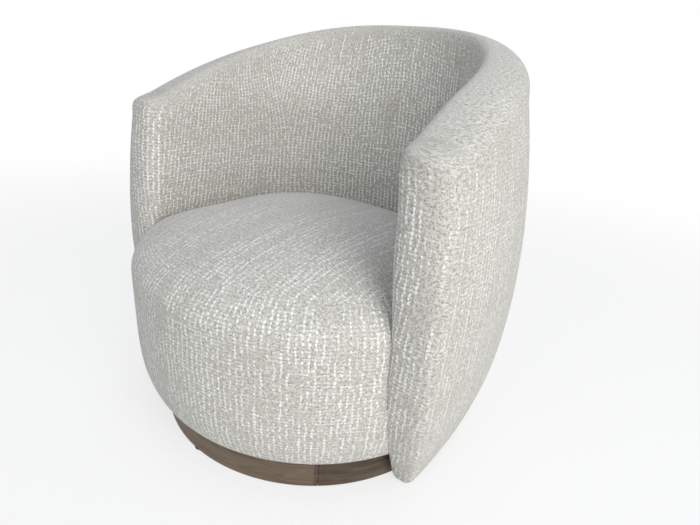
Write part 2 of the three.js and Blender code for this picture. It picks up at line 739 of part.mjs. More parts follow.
for (let index = 0; index < plinthSegments; index += 1) {
  add(`plinth_segment_${index + 1}`, plinthSegment(index), stainedWood);
  add(`glide_${index + 1}`, glide(index), nylon);
}
add("plinth_board", plinthBoard(), plywood);
add("swivel_lower_plate", plate(lowerPlateBottom, pinRadius + fitGap), steel);
add("pivot_pin", pivotPin(), steel);
add("ball_cage", ballCage(), nylon);
ballPlaces.forEach((place, index) => add(`bearing_ball_${index + 1}`, bearingBall(place), steel));
add("swivel_upper_plate", plate(upperPlateBottom, pinRadius + fitGap), steel);
plateFixingPlaces.forEach((place, index) => {
  add(`lower_plate_screw_${index + 1}`, fixing(place, lowerPlateTop + fitGap, -1), steel);
  add(`upper_plate_bolt_${index + 1}`, fixing(place, upperPlateBottom - fitGap, 1), steel);
});
add("body_board", bodyBoard(), plywood);
add("dust_cover", dustCover(), lining);
for (let index = 0; index < uprightCount; index += 1) {
  add(`seat_upright_${index + 1}`, seatUpright(index), plywood);
}
add("front_panel", frontPanel(), plywood);
add("seat_deck", seatDeck(), plywood);
[-1, 0, 1].forEach((row, index) => add(`side_strap_${index + 1}`, sideStrap(row), jute));
[-1, 1].forEach((side, index) => add(`long_strap_${index + 1}`, longStrap(side), jute));
add("seat_foam", seatFoam(), foam);
add("seat_cover", seatCover(), fabric);
add("skirt_band", skirtBand(), plywood);
ribStations.forEach((station, index) => add(`back_rib_${index + 1}`, backRib(station), plywood));
add("top_rail", topRail(), plywood);
add("arm_front_board_left", armFrontBoard(1), plywood);
add("arm_front_board_right", armFrontBoard(-1), plywood);
add("back_pad", backPad(), foam);
add("top_roll_pad", topRollPad(), foam);
add("back_cover", backCover(), fabric);

export default chair;
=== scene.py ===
"""Looks of the swivel barrel chair: its upholstery, wooden plinth, hidden parts and a plain studio."""

import math
from contextlib import contextmanager

import bpy
import numpy as np
from bpy.props import FloatProperty, FloatVectorProperty, PointerProperty
from bpy.types import Operator, Panel, PropertyGroup
from mathutils import Matrix, Vector
from mathutils.bvhtree import BVHTree


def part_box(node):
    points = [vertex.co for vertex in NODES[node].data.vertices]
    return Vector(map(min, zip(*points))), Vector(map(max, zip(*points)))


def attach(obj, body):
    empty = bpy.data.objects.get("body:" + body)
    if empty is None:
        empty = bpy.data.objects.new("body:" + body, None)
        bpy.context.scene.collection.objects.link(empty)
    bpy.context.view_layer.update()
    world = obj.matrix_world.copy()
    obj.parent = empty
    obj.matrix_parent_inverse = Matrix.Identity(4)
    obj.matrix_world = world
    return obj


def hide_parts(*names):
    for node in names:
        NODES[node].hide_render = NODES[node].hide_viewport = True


bl_info = {
    "name": "Swivel Barrel Chair",
    "version": (1, 0, 0),
    "blender": (4, 5, 0),
    "location": "View3D > Sidebar > Barrel Chair",
    "description": "Builds the upholstery, the wooden plinth and the studio round the packed chair",
    "category": "Object",
}

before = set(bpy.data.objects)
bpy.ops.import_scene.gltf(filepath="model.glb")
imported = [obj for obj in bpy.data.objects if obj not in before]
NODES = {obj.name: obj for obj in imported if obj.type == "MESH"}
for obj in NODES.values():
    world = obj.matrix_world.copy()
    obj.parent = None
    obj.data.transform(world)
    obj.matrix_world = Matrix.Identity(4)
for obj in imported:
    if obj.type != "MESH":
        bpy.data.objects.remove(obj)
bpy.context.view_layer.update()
PIN_LOW, PIN_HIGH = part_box("pivot_pin")
AXIS_Y = (PIN_LOW.y + PIN_HIGH.y) / 2

MM = 0.001
BODY = "chair_body"
BASE = "base"
METAL_PARTS = ("swivel", "pivot", "bearing", "lower_plate_screw", "upper_plate_bolt")
PLASTIC_PARTS = ("glide", "ball_cage")

# Shell: the outline's centre lies before the swivel axis, and the faces follow the same curves as the frame
OUTLINE_FORWARD = 46 * MM
BULGE_HEIGHT = 328 * MM
FOOT_DRAW_WIDTH, FOOT_DRAW_DEPTH = 55 * MM, 15 * MM
TOP_DRAW_WIDTH, TOP_DRAW_DEPTH = 80 * MM, 44 * MM
FOOT_POWER, TOP_POWER = 2.3, 1.9
OUTER_POWER, INNER_ARM_POWER, INNER_BACK_POWER, RIM_BACK_POWER = 2.5, 3.2, 2.7, 2.4
ARM_REACH, FRONT_FOOT_DRAW, FRONT_TOP_DRAW = 212 * MM, 79 * MM, 34 * MM
FOOT_NOSE, TOP_NOSE = (18 * MM, 3.0), (46 * MM, 2.4)
NOSE_SOFTENS, NOSE_EASING = (150 * MM, 640 * MM), 3
LOW_INNER, HIGH_INNER = (316 * MM, 312 * MM), (287 * MM, 301 * MM)
SWELL_START, SWELL_END = 273 * MM, 503 * MM
INNER_FOOT_DRAW, INNER_FOOT_HEIGHT = 11 * MM, 223 * MM
FOOT_HEIGHT = 7 * MM
HEM_HEIGHT = 100 * MM
HEM_SHARE = 0.05
RIM_FALL, RIM_BOW, RIM_BOW_SKEW = 0.345, 12 * MM, 1.8
RIM_SWELL, RIM_SWELLS = 22 * MM, (480 * MM, 640 * MM)
CROWN_SHARE, ROLL_POWER, ROLL_CROWDING = 0.75, 2.8, 1.5
FOLD_INSET, FOLD_TOP, FOLD_SHARES = 10 * MM, 85 * MM, (0.33, 0.67)

# Seat: a round drum with a domed top, open below like a cap
DRUM_BOTTOM, DRUM_FULL, DOME_START = 74 * MM, 246 * MM, 321 * MM
DRUM_FOOT_DRAW, DRUM_FOOT_POWER = 27 * MM, 4
DOME_POWER = 2.2
SEAT_OUTLINE, SEAT_POWER = (338 * MM, 322 * MM), 3.2
SEAT_GAP, HEM_CLEAR, OPEN_REACH = 2 * MM, 5 * MM, 1.0
FRONT_PRESS, FRONT_TURN = 7 * MM, 0.2
COVER = 4 * MM
FOAM_BOTTOM, TURN_IN, INFILL = 326 * MM, 1 * MM, 0.5
HIDDEN_FOOT = 300 * MM
HIDDEN_FROM, HIDDEN_TO = -95 * MM, -60 * MM

# Plinth: steps in each board's curve, and a turn added so that no length along the grain is below zero
BOARD_STEPS, GRAIN_SHIFT = 40, 4.0

# Straps and the lining under the body
SELVEDGE, WEBBING_SHARE = 3 * MM, 0.7
LINING_RINGS, LINING_STEPS, LINING_TACKS, LINING_PUCKER = 6, 96, 24, 0.4
LINING_INSET, LINING_SAG, LINING_THICKNESS = 6 * MM, 1.2 * MM, 0.4 * MM

# Stuffing: how long it swells, how hard it pushes, and how far a point may end under the shaped form
SIMULATED_FRAMES, PRESSURE, DIP = 20, 4.0, 0.5 * MM
NAILED, LEAST_LIMIT, LEAST_MOVE = 0.05, 1e-6, 1e-9

# The seam between arm panel and back panel as height and angle off the middle, how the threads lean there,
# and the inner face's cloth: its scale, the height it is measured from, and the arm panel's shift along it
JOIN_LOW, JOIN_HIGH = (0.377, 0.75), (0.709, 1.05)
LEAN_START, LEAN_BEND, JOIN_FADE = 0.55, 0.05, 0.22
ARM_LEAN, BACK_LEAN, MIDDLE_WIDTH = 0.4, 0.35, 0.5
INNER_SCALE, INNER_TOP, PANEL_SHIFT = 0.9, 1.64, 3.0

# Pale yarn of the outer face, rim and inner face, which fades out at the tips of the arm fronts. This is partly
# painted light: the inner face carries more pale yarn so that it reads lighter in its shade, and the rim less,
# as painted sheen that washes out its weave. The rim's cloth laps this many rows over both faces
SHELL_YARN_LIGHT, TIP_REACH, RIM_LAP = (0.85, 0.35, 1.45), 50 * MM, 3

# The seat top's cloth meets the drum side's at this ring, its pale yarn coming in over the rings beside it, and
# falls from the first value in front to the second behind, as painted shade and sheen that darken the back of
# the seat top and wash out its weave
SEAM_RING, SEAM_FADE, SIDE_SHIFT = 14, 4, 11.0
SEAT_YARN_SHADE, YARN_SHADE_FRONT, YARN_SHADE_DEPTH = (0.85, 0.55), 0.25, 0.4

# Edges that turn less than these are shaded smooth
STRAP_SMOOTH, LINING_SMOOTH, BOARD_SMOOTH = math.radians(50), math.radians(40), math.radians(35)

# Where the stuffing is free: above the shell's foot, and away from the seat that presses on the inner face
HELD_FOOT, FREE_FOOT = 60 * MM, 120 * MM
PRESSED_REACH, PRESSED_BACK = 15 * MM, 260 * MM
PRESSED_HEIGHT, PRESSED_FADE = 400 * MM, 60 * MM
SEAT_CLEAR = 25 * MM

# Camera: turn, tilt and roll, its aim right of the axis and above the floor, its distance and its lens
CAMERA_TURN, CAMERA_TILT, CAMERA_ROLL = 0.61451, 0.40427, 0.080417
AIM_RIGHT, AIM_HEIGHT, CAMERA_BACK = 0.06433, 0.30423, 1.0541
CAMERA_LENS, SENSOR_WIDTH, CLIP_END = 25.13, 36.0, 60.0
LAMP_AIM = Vector((0.0, 0.0, 0.4))
WHITE = (1.0, 1.0, 1.0, 1.0)

# The white background takes over from the floor between these distances
FLOOR_SIZE, FLOOR_NEAR, FLOOR_FAR = 40.0, 0.8, 3.0

# Mesh counts: the foot has three rows of its own before the outer face
FOOT_ROWS = 3
SHELL_COLUMNS, NOSE_COLUMNS = 104, 8
LOWER_ROWS, UPPER_ROWS, ROLL_ROWS = 26, 8, 10
DOME_RINGS, SIDE_RINGS = 22, 16


def mix(a, b, share):
    return a + (b - a) * share


def smooth(share):
    share = min(1.0, max(0.0, share))
    return share * share * (3 - 2 * share)


def smooth_array(share):
    share = np.clip(share, 0, 1)
    return share * share * (3 - 2 * share)


# Shader maths


def math_node(operation, swapped=False):
    def combine(wire, other):
        values = (other, wire) if swapped else (wire, other)
        return wire.graph.math(operation, *values)
    return combine


class Wire:
    """An output of a shader node, so that shader maths reads as plain expressions."""

    def __init__(self, graph, socket):
        self.graph = graph
        self.socket = socket

    __add__ = __radd__ = math_node("ADD")
    __mul__ = __rmul__ = math_node("MULTIPLY")
    __sub__, __rsub__ = math_node("SUBTRACT"), math_node("SUBTRACT", swapped=True)
    __truediv__ = math_node("DIVIDE")


class Graph:
    """Node tree of a new material or world."""

    def __init__(self, owner):
        self.owner = owner
        owner.use_nodes = True
        self.tree = owner.node_tree
        self.tree.nodes.clear()

    def node(self, kind, settings=None, sockets=None, output=0):
        made = self.tree.nodes.new(kind)
        for name, value in (settings or {}).items():
            if name == "stops":
                ramp = made.color_ramp
                while len(ramp.elements) < len(value):
                    ramp.elements.new(1.0)
                for element, (place, shade) in zip(ramp.elements, value):
                    element.position = place
                    element.color = (*shade, 1.0)
            else:
                setattr(made, name, value)
        for name, value in (sockets or {}).items():
            socket = made.inputs[name]
            if isinstance(value, Wire):
                self.tree.links.new(value.socket, socket)
            else:
                socket.default_value = value
        return Wire(self, made.outputs[output]) if made.outputs else None

    def math(self, operation, *values):
        return self.node("ShaderNodeMath", {"operation": operation}, dict(enumerate(values)))

    def vector(self, x=0.0, y=0.0, z=0.0):
        return self.node("ShaderNodeCombineXYZ", sockets={"X": x, "Y": y, "Z": z})

    def parts(self, vector):
        split = self.node("ShaderNodeSeparateXYZ", sockets={"Vector": vector})
        outputs = split.socket.node.outputs
        return [Wire(self, outputs[axis]) for axis in ("X", "Y", "Z")]

    def noise(self, vector, scale, detail=2.0, roughness=0.5):
        sockets = {"Vector": vector, "Scale": scale, "Detail": detail, "Roughness": roughness}
        return self.node("ShaderNodeTexNoise", sockets=sockets)

    def random(self, value):
        return self.node("ShaderNodeTexWhiteNoise", {"noise_dimensions": "1D"}, {"W": value})

    def random_cell(self, x, y):
        return self.node("ShaderNodeTexWhiteNoise", {"noise_dimensions": "2D"}, {"Vector": self.vector(x, y)})

    def between(self, value, low, high, start=0.0, end=1.0):
        sockets = {"Value": value, "From Min": low, "From Max": high, "To Min": start, "To Max": end}
        return self.node("ShaderNodeMapRange", {"interpolation_type": "SMOOTHSTEP"}, sockets)

    def blend(self, share, a, b):
        a, b = (value if isinstance(value, Wire) else (*value, 1.0) for value in (a, b))
        return self.node("ShaderNodeMix", {"data_type": "RGBA"}, {0: share, 6: a, 7: b}, output=2)

    def ramp(self, value, *stops):
        return self.node("ShaderNodeValToRGB", {"stops": stops}, {"Fac": value})

    def floor(self, value):
        return self.math("FLOOR", value)

    def ridge(self, share):
        """1 in the middle of a cell and 0 at both its edges."""
        return 1.0 - self.math("ABSOLUTE", share * 2.0 - 1.0)

    def uv(self):
        return self.parts(self.node("ShaderNodeUVMap", {"uv_map": "weave"}))[:2]

    def place(self):
        return self.node("ShaderNodeTexCoord", output=3)

    def bump(self, height, distance, strength=1.0):
        sockets = {"Strength": strength, "Distance": distance, "Height": height}
        return self.node("ShaderNodeBump", sockets=sockets)

    def seen(self):
        """1 for rays that come from the camera, also by way of a glossy or clear surface."""
        paths = self.node("ShaderNodeLightPath").socket.node.outputs
        camera, glossy, through = (
            Wire(self, paths[name]) for name in ("Is Camera Ray", "Is Glossy Ray", "Is Transmission Ray"))
        return self.math("MAXIMUM", self.math("MAXIMUM", camera, glossy), through)

    def surface(self, **values):
        sockets = {name.replace("_", " "): value for name, value in values.items()}
        shader = self.node("ShaderNodeBsdfPrincipled", sockets=sockets)
        self.node("ShaderNodeOutputMaterial", sockets={"Surface": shader})
        return self.owner


# Finishes


def material_graph(name):
    return Graph(bpy.data.materials.new(name))


# Fabric noises, in cells to the metre, and how far they move or fill the yarn, in threads
SWAY_SCALE, FRAY_SCALE, KNOT_SCALE, PATCH_SCALE = 24.0, 170.0, 150.0, 9.0
PILE_SCALE, TUFT_SCALE, FLECK_SCALE = 430.0, 190.0, 330.0
WARP_RUN, WEFT_RUN = 18.0, 22.0
FRAY, KNOT, BEAD_SHIFT, YARN_LIGHT_SHIFT = 0.5, 0.9, 0.25, 0.25


def chenille(look):
    """Woven upholstery fabric: dotted pale warp and weft slubs over a fine grey-beige pile."""
    g = material_graph("woven_chenille")
    u, v = g.uv()
    flat = g.vector(u, v)
    # The per-point pale-yarn value is partly painted light and shade: it lightens the shell's inner face,
    # darkens the back of the seat top and thins the weave on the rim as painted sheen
    nap = g.node("ShaderNodeAttribute", {"attribute_name": "nap"}, output=2)
    sway = g.noise(flat, SWAY_SCALE, 1.0) - 0.5
    drift = g.noise(g.vector(v, u, 3.0), SWAY_SCALE, 1.0) - 0.5
    frayed = g.noise(g.vector(u, v, 5.0), FRAY_SCALE, 1.0) - 0.5
    knotted = g.noise(g.vector(u, v, 8.0), KNOT_SCALE, 1.0) - 0.5
    across = (u + sway * look.thread_sway) / look.warp_pitch + frayed * FRAY
    along = (v + drift * look.thread_sway) / look.weft_pitch + knotted * KNOT
    column, row = g.floor(across), g.floor(along)
    knot = g.random_cell(column, row)
    halves = across * 2.0 + 0.5
    half = g.floor(halves)
    float_yarn = g.random_cell(half, row + 0.5)
    warp_profile = g.ridge(across - column + (knot - 0.5) * BEAD_SHIFT)
    weft_profile = g.ridge(along - row)

    # Pale yarn comes and goes along each thread, and whole patches of the cloth carry more of it
    patch = g.noise(flat, PATCH_SCALE, 1.0) * 0.35
    warp_run = g.noise(g.vector(column * 3.7, v * WARP_RUN), 1.0, 1.0) * 0.5 + g.random(column) * 0.2
    weft_run = g.noise(g.vector(row * 4.3 + 50.0, u * WEFT_RUN), 1.0, 1.0) * 0.5 + g.random(row + 0.5) * 0.2
    warp_yarn = g.between(warp_run + patch + (nap - 1.0) * YARN_LIGHT_SHIFT, 0.36, 0.56)
    weft_yarn = g.between(weft_run + patch, 0.4, 0.62)
    bead = g.between(warp_profile, 0.5, 0.82) * g.between(weft_profile, 0.1, 0.6, 0.18, 1.0)
    warp = bead * warp_yarn * g.between(knot, 0.1, 0.45, 0.15, 1.0)
    dash = g.between(weft_profile, 0.6, 0.9) * g.between(g.ridge(halves - half), 0.0, 0.5, 0.3, 1.0)
    weft = dash * weft_yarn * g.between(float_yarn, 0.4, 0.7, 0.0, 0.85)
    pale = g.math("MAXIMUM", warp, weft) * nap

    fine = g.noise(g.vector(u, v, 1.0), PILE_SCALE, 2.0, 0.65)
    pile = fine * 0.6 + g.noise(g.vector(u, v, 9.0), TUFT_SCALE) * 0.4
    tuft = g.between(pile, 0.42, 0.58)
    fleck = g.between(g.noise(g.vector(u, v, 7.0), FLECK_SCALE, 1.0), 0.42, 0.62)
    ground = g.blend(tuft, look.shade_colour, look.base_colour)
    ground = g.blend(fleck * 0.35, ground, look.fleck_colour)
    colour = g.blend(pale * (0.8 + tuft * 0.2), ground, look.slub_colour)
    height = pale * 0.8 + pile * 0.9 + fleck * 0.3
    return g.surface(
        Base_Color=colour,
        Roughness=0.95 - pale * 0.1,
        Specular_IOR_Level=0.25,
        Sheen_Weight=look.sheen,
        Sheen_Roughness=0.4,
        Sheen_Tint=(0.93, 0.96, 1.0, 1.0),
        Normal=g.bump(height, 1.1 * MM, 0.9),
    )


def stained_wood(look):
    """Open-grained hardwood under a brown stain, its grain running round the plinth."""
    g = material_graph("stained_hardwood")
    u, v = g.uv()
    shift = g.random(g.floor(u / look.board_length))
    grain_place = g.vector(u * 5.0 + shift * 30.0, v * 70.0 + shift * 9.0)
    warp = g.noise(grain_place, 1.0, 2.0) - 0.5
    streak = g.noise(g.vector(u * 9.0 + shift * 50.0, v * 260.0 + warp * 9.0), 1.0, 4.0, 0.6)
    pore = g.between(g.noise(g.vector(u * 60.0, v * 1400.0), 1.0, 2.0), 0.6, 0.7)
    tone = g.ramp(
        streak * 0.8 + shift * 0.2 - 0.02,
        (0.3, look.dark_colour), (0.5, look.middle_colour), (0.72, look.light_colour))
    worn = g.between(g.noise(g.vector(u * 4.0, v * 30.0, 5.0), 1.0, 2.0), 0.45, 0.7)
    tone = g.blend(worn * 0.35, tone, look.worn_colour)
    tone = g.blend(pore * 0.5, tone, look.dark_colour)
    return g.surface(
        Base_Color=tone,
        Roughness=0.5 + streak * 0.15,
        Specular_IOR_Level=0.4,
        Normal=g.bump(streak * 0.5 - pore, 0.25 * MM, 0.6),
    )


VENEER = 1.5 * MM


def plywood():
    """Birch plywood: pale veneer faces with thin dark glue lines on the edges."""
    g = material_graph("birch_plywood")
    x, y, z = g.parts(g.place())
    figure = g.noise(g.vector(x * 6.0, y * 60.0, z * 60.0), 1.0, 4.0, 0.6)
    glue = g.between(g.math("FRACT", z / VENEER), 0.8, 0.9)
    tone = g.ramp(figure, (0.3, (0.42, 0.28, 0.15)), (0.7, (0.62, 0.46, 0.28)))
    edge = g.math("ABSOLUTE", g.parts(g.node("ShaderNodeNewGeometry", output=1))[2])
    upright = g.between(edge, 0.3, 0.6, 1.0, 0.0)
    tone = g.blend(glue * upright * 0.6, tone, (0.16, 0.1, 0.05))
    return g.surface(
        Base_Color=tone, Roughness=0.65 + figure * 0.15, Normal=g.bump(figure, 0.2 * MM, 0.5))


def steel():
    """Zinc-plated pressed steel with faint brushing."""
    g = material_graph("plated_steel")
    place = g.place()
    x, y, z = g.parts(place)
    brushed = g.noise(g.vector(x * 30.0, y * 900.0, z * 900.0), 1.0, 3.0, 0.6)
    cloud = g.noise(place, 25.0, 2.0)
    tone = g.ramp(cloud * 0.6 + brushed * 0.4, (0.25, (0.33, 0.34, 0.35)), (0.75, (0.56, 0.57, 0.58)))
    return g.surface(
        Base_Color=tone, Metallic=1.0, Roughness=0.28 + brushed * 0.2,
        Normal=g.bump(brushed, 0.05 * MM, 0.4),
    )


def nylon():
    """Moulded dark nylon with a fine satin texture."""
    g = material_graph("moulded_nylon")
    place = g.place()
    pebble = g.noise(place, 900.0, 2.0)
    tone = g.ramp(g.noise(place, 60.0, 1.0), (0.3, (0.02, 0.02, 0.02)), (0.7, (0.05, 0.048, 0.045)))
    return g.surface(
        Base_Color=tone, Roughness=0.42 + pebble * 0.2, Normal=g.bump(pebble, 0.1 * MM, 0.5))


def lining():
    """Thin spun-bonded black lining cloth."""
    g = material_graph("spun_lining")
    place = g.place()
    fibres = g.noise(place, 700.0, 3.0, 0.7)
    dots = g.noise(place, 160.0, 1.0)
    tone = g.ramp(fibres * 0.7 + dots * 0.3, (0.3, (0.012, 0.012, 0.012)), (0.75, (0.045, 0.044, 0.043)))
    return g.surface(
        Base_Color=tone, Roughness=0.85 + dots * 0.1, Normal=g.bump(fibres, 0.2 * MM, 0.6))


JUTE_TURNS = 900.0


def webbing():
    """Jute webbing, woven across and along."""
    g = material_graph("jute_webbing")
    x, y, _ = g.parts(g.place())
    over = g.math("SINE", x * JUTE_TURNS) * g.math("SINE", y * JUTE_TURNS)
    fibres = g.noise(g.place(), 500.0, 3.0, 0.6)
    tone = g.ramp(fibres * 0.6 + (over + 1.0) * 0.2, (0.2, (0.16, 0.11, 0.06)), (0.8, (0.42, 0.33, 0.2)))
    return g.surface(
        Base_Color=tone, Roughness=0.8 + fibres * 0.15,
        Normal=g.bump(over * 0.5 + fibres, 0.5 * MM, 0.7))


# Shell shape


class ShellShape:
    """Both faces of the wrapping shell, at any share of the way round it and at any height."""

    def __init__(self, size):
        self.size = size
        self.angles = {}
        self.rim_back = self.middle(0.5)[1]
        self.rim_length = self.rim_back - self.middle(0.0)[1]

    def barrel(self, height, fullest, foot_draw, top_draw):
        below = max(0.0, (BULGE_HEIGHT - height) / BULGE_HEIGHT)
        above = max(0.0, (height - BULGE_HEIGHT) / (self.size.height - BULGE_HEIGHT))
        return fullest - foot_draw * below**FOOT_POWER - top_draw * above**TOP_POWER

    def nose(self, height):
        """Depth and squareness of the rounded arm front, which grows softer towards its top."""
        share = smooth((height - NOSE_SOFTENS[0]) / (NOSE_SOFTENS[1] - NOSE_SOFTENS[0]))
        return mix(FOOT_NOSE[0], TOP_NOSE[0], share), mix(FOOT_NOSE[1], TOP_NOSE[1], share)

    def nose_base(self, height):
        reach = self.barrel(height, ARM_REACH, FRONT_FOOT_DRAW, FRONT_TOP_DRAW)
        return self.nose(height)[0] - reach

    def outline(self, outer, height):
        if outer:
            depth = self.size.back_reach + OUTLINE_FORWARD
            half_depth = self.barrel(height, depth, FOOT_DRAW_DEPTH, TOP_DRAW_DEPTH)
            half_width = self.barrel(height, self.size.half_width, FOOT_DRAW_WIDTH, TOP_DRAW_WIDTH)
            return half_width, half_depth, OUTER_POWER, OUTER_POWER
        swell = smooth((height - SWELL_START) / (SWELL_END - SWELL_START))
        foot = max(0.0, (INNER_FOOT_HEIGHT - height) / INNER_FOOT_HEIGHT)
        under_rim = smooth((height - RIM_SWELLS[0]) / (RIM_SWELLS[1] - RIM_SWELLS[0]))
        half_width = mix(LOW_INNER[0], HIGH_INNER[0], swell)
        half_width -= INNER_FOOT_DRAW * foot**2 + RIM_SWELL * under_rim
        back_power = mix(INNER_BACK_POWER, RIM_BACK_POWER, under_rim)
        return half_width, mix(LOW_INNER[1], HIGH_INNER[1], swell), INNER_ARM_POWER, back_power

    def reach(self, outer, height, angle):
        half_width, half_depth, front, back = self.outline(outer, height)
        power = front if math.sin(angle) < 0 else back
        across = abs(math.cos(angle) / half_width) ** power
        along = abs(math.sin(angle) / half_depth) ** power
        return (across + along) ** (-1 / power)

    def first_angle(self, outer, height):
        key = (outer, round(height, 6))
        if key not in self.angles:
            half_width, half_depth, power, _ = self.outline(outer, height)
            along = self.nose_base(height) + OUTLINE_FORWARD
            across = half_width * (1 - min(1.0, abs(along / half_depth)) ** power) ** (1 / power)
            self.angles[key] = math.atan2(along, across)
        return self.angles[key]

    def wall(self, outer, share, height):
        first = self.first_angle(outer, height)
        angle = mix(first, math.pi - first, share)
        reach = self.reach(outer, height, angle)
        return np.array((reach * math.cos(angle), reach * math.sin(angle) - OUTLINE_FORWARD, height))

    def middle(self, share, height=SWELL_END):
        return (self.wall(True, share, height) + self.wall(False, share, height)) / 2

    def shoulder(self, share):
        forward = max(0.0, self.rim_back - self.middle(share)[1])
        bow = math.sin(math.pi * (forward / self.rim_length) ** RIM_BOW_SKEW)
        return self.size.height - RIM_FALL * forward + RIM_BOW * bow - self.size.roll_height

    def front(self, own, other, around, forward, power, fall):
        """A point on the rounded arm front, from its own face (around 0) to the middle (around 1)."""
        angle = math.pi / 2 * around
        middle = (own + other) / 2
        point = middle + (own - middle) * max(0.0, math.cos(angle)) ** (2 / power)
        outwards = forward * math.sin(angle) ** (2 / power)
        return point - np.array((0.0, outwards, fall * outwards))

    def level(self, outer, share, around, height):
        own = self.wall(outer, share, height)
        if not around:
            return own
        return self.front(own, self.wall(not outer, share, height), around, *self.nose(height), 0.0)

    def roll(self, outer, share, around, turn):
        height = self.shoulder(share)
        own, other = self.wall(outer, share, height), self.wall(not outer, share, height)
        crown = mix(own, other, CROWN_SHARE if outer else 1 - CROWN_SHARE)
        inwards = max(0.0, math.cos(turn)) ** (2 / ROLL_POWER)
        rise = np.array((0.0, 0.0, self.size.roll_height * math.sin(turn) ** (2 / ROLL_POWER)))
        own = crown + (own - crown) * inwards + rise
        other = crown + (other - crown) * inwards + rise
        depth, power = self.nose(height)
        forward = depth * (1 - (1 - inwards) ** NOSE_EASING)
        return self.front(own, other, around, forward, power, RIM_FALL * math.sin(turn))

    def hem(self, share):
        """Height of the inner face's lower edge: at the floor on the arm fronts, above the plinth behind."""
        from_front = min(share, 1 - share)
        return mix(FOOT_HEIGHT, HEM_HEIGHT, min(1.0, from_front / HEM_SHARE))

    def fold(self, share, top):
        """The cover's turned-in foot: behind the arm fronts it wraps under the edge and climbs inside."""
        outer, inner = self.wall(True, share, FOOT_HEIGHT), self.wall(False, share, FOOT_HEIGHT)
        across = mix(outer, inner, FOLD_SHARES[top])
        wall = self.wall(True, share, FOLD_TOP if top else FOOT_HEIGHT)
        towards = np.array((0.0, -OUTLINE_FORWARD, wall[2])) - wall
        tucked = wall + towards / np.linalg.norm(towards) * FOLD_INSET
        return mix(across, tucked, min(1.0, min(share, 1 - share) / HEM_SHARE))


def shell_columns():
    """Places round the shell, from the middle of one arm front to the middle of the other."""
    noses = [(0.0, 1 - index / NOSE_COLUMNS) for index in range(NOSE_COLUMNS)]
    walls = [(index / SHELL_COLUMNS, 0.0) for index in range(SHELL_COLUMNS + 1)]
    return noses + walls + [(1.0, around) for _, around in reversed(noses)]


def shell_lattice(shape):
    """Points row by row: up the outer face, over the rim, down the inner face and under the foot."""
    columns = shell_columns()

    def row(make):
        return [make(share, around) for share, around in columns]

    def face(outer):
        rows = []
        for index in range(LOWER_ROWS):
            part = index / LOWER_ROWS
            rows.append(row(lambda share, around: shape.level(
                outer, share, around,
                mix(FOOT_HEIGHT if outer else shape.hem(share), SWELL_END, part))))
        for index in range(UPPER_ROWS + 1):
            part = index / UPPER_ROWS
            rows.append(row(lambda share, around: shape.level(
                outer, share, around, mix(SWELL_END, shape.shoulder(share), part))))
        for index in range(1, ROLL_ROWS):
            turn = math.pi / 2 * (1 - (1 - index / ROLL_ROWS) ** ROLL_CROWDING)
            rows.append(row(lambda share, around: shape.roll(outer, share, around, turn)))
        return rows

    def foot(top):
        def make(share, around):
            if around:
                return shape.level(True, share, 1.0, FOOT_HEIGHT)
            return shape.fold(share, top)
        return row(make)

    crown = row(lambda share, around: shape.roll(True, share, around, math.pi / 2))
    inner = face(False)
    rows = [inner[0], foot(True), foot(False)] + face(True) + [crown] + inner[::-1]
    return np.array(rows) + np.array((0.0, AXIS_Y, 0.0))


def read_values(items, name, width=1, kind=float):
    values = np.zeros(len(items) * width, kind)
    items.foreach_get(name, values)
    return values.reshape(-1, width) if width > 1 else values


def corner_points(piece):
    return read_values(piece.data.loops, "vertex_index", kind=int)


def over_faces(piece, values, combine):
    """Combines the values of each face's corners, given again for each of its corners."""
    first = read_values(piece.data.polygons, "loop_start", kind=int)
    count = read_values(piece.data.polygons, "loop_total", kind=int)
    return np.repeat(combine.reduceat(values[corner_points(piece)], first), count)


def lengths_along(lattice, axis):
    steps = np.linalg.norm(np.diff(lattice, axis=axis), axis=2)
    pad = [(0, 0), (0, 0)]
    pad[axis] = (1, 0)
    return np.cumsum(np.pad(steps, pad), axis=axis)


def coordinates(piece):
    return read_values(piece.data.vertices, "co", 3)


def round_axis(piece, angle=0.0):
    """Each point's turn round the swivel axis, from this angle on, and its reach from the axis."""
    across, along = coordinates(piece)[:, :2].T - np.array(((0.0,), (AXIS_Y,)))
    turn = np.arctan2(along, across) - angle
    return (turn + math.pi) % (2 * math.pi) - math.pi, np.hypot(across, along)


def normals(piece):
    return read_values(piece.data.vertices, "normal", 3)


def named(name):
    """Names the object that was just added."""
    made = bpy.context.object
    made.name = made.data.name = name
    return made


def sized(name, scale):
    """Names the primitive that was just added and gives it its size."""
    piece = named(name)
    piece.scale = scale
    bpy.ops.object.transform_apply(location=True, rotation=True, scale=True)
    return piece


@contextmanager
def editing():
    bpy.ops.object.mode_set(mode="EDIT")
    yield
    bpy.ops.object.mode_set(mode="OBJECT")


def face_outwards():
    bpy.ops.mesh.select_all(action="SELECT")
    bpy.ops.mesh.normals_make_consistent(inside=False)


def grid_piece(name, lattice):
    """Lays a grid primitive on a lattice; gives the object and each point's row and column."""
    rows, columns = lattice.shape[:2]
    bpy.ops.mesh.primitive_grid_add(x_subdivisions=columns - 1, y_subdivisions=rows - 1, size=1)
    piece = named(name)
    places = coordinates(piece)
    column = np.rint((places[:, 0] + 0.5) * (columns - 1)).astype(int)
    row = np.rint((places[:, 1] + 0.5) * (rows - 1)).astype(int)
    piece.data.vertices.foreach_set("co", lattice[row, column].ravel())
    return piece, row, column


def write_weave(piece, values):
    """Stores the cloth's own coordinates, in metres, for each corner of each face."""
    piece.data.uv_layers[0].name = "weave"
    piece.data.uv_layers["weave"].data.foreach_set("uv", np.asarray(values, np.float32).ravel())


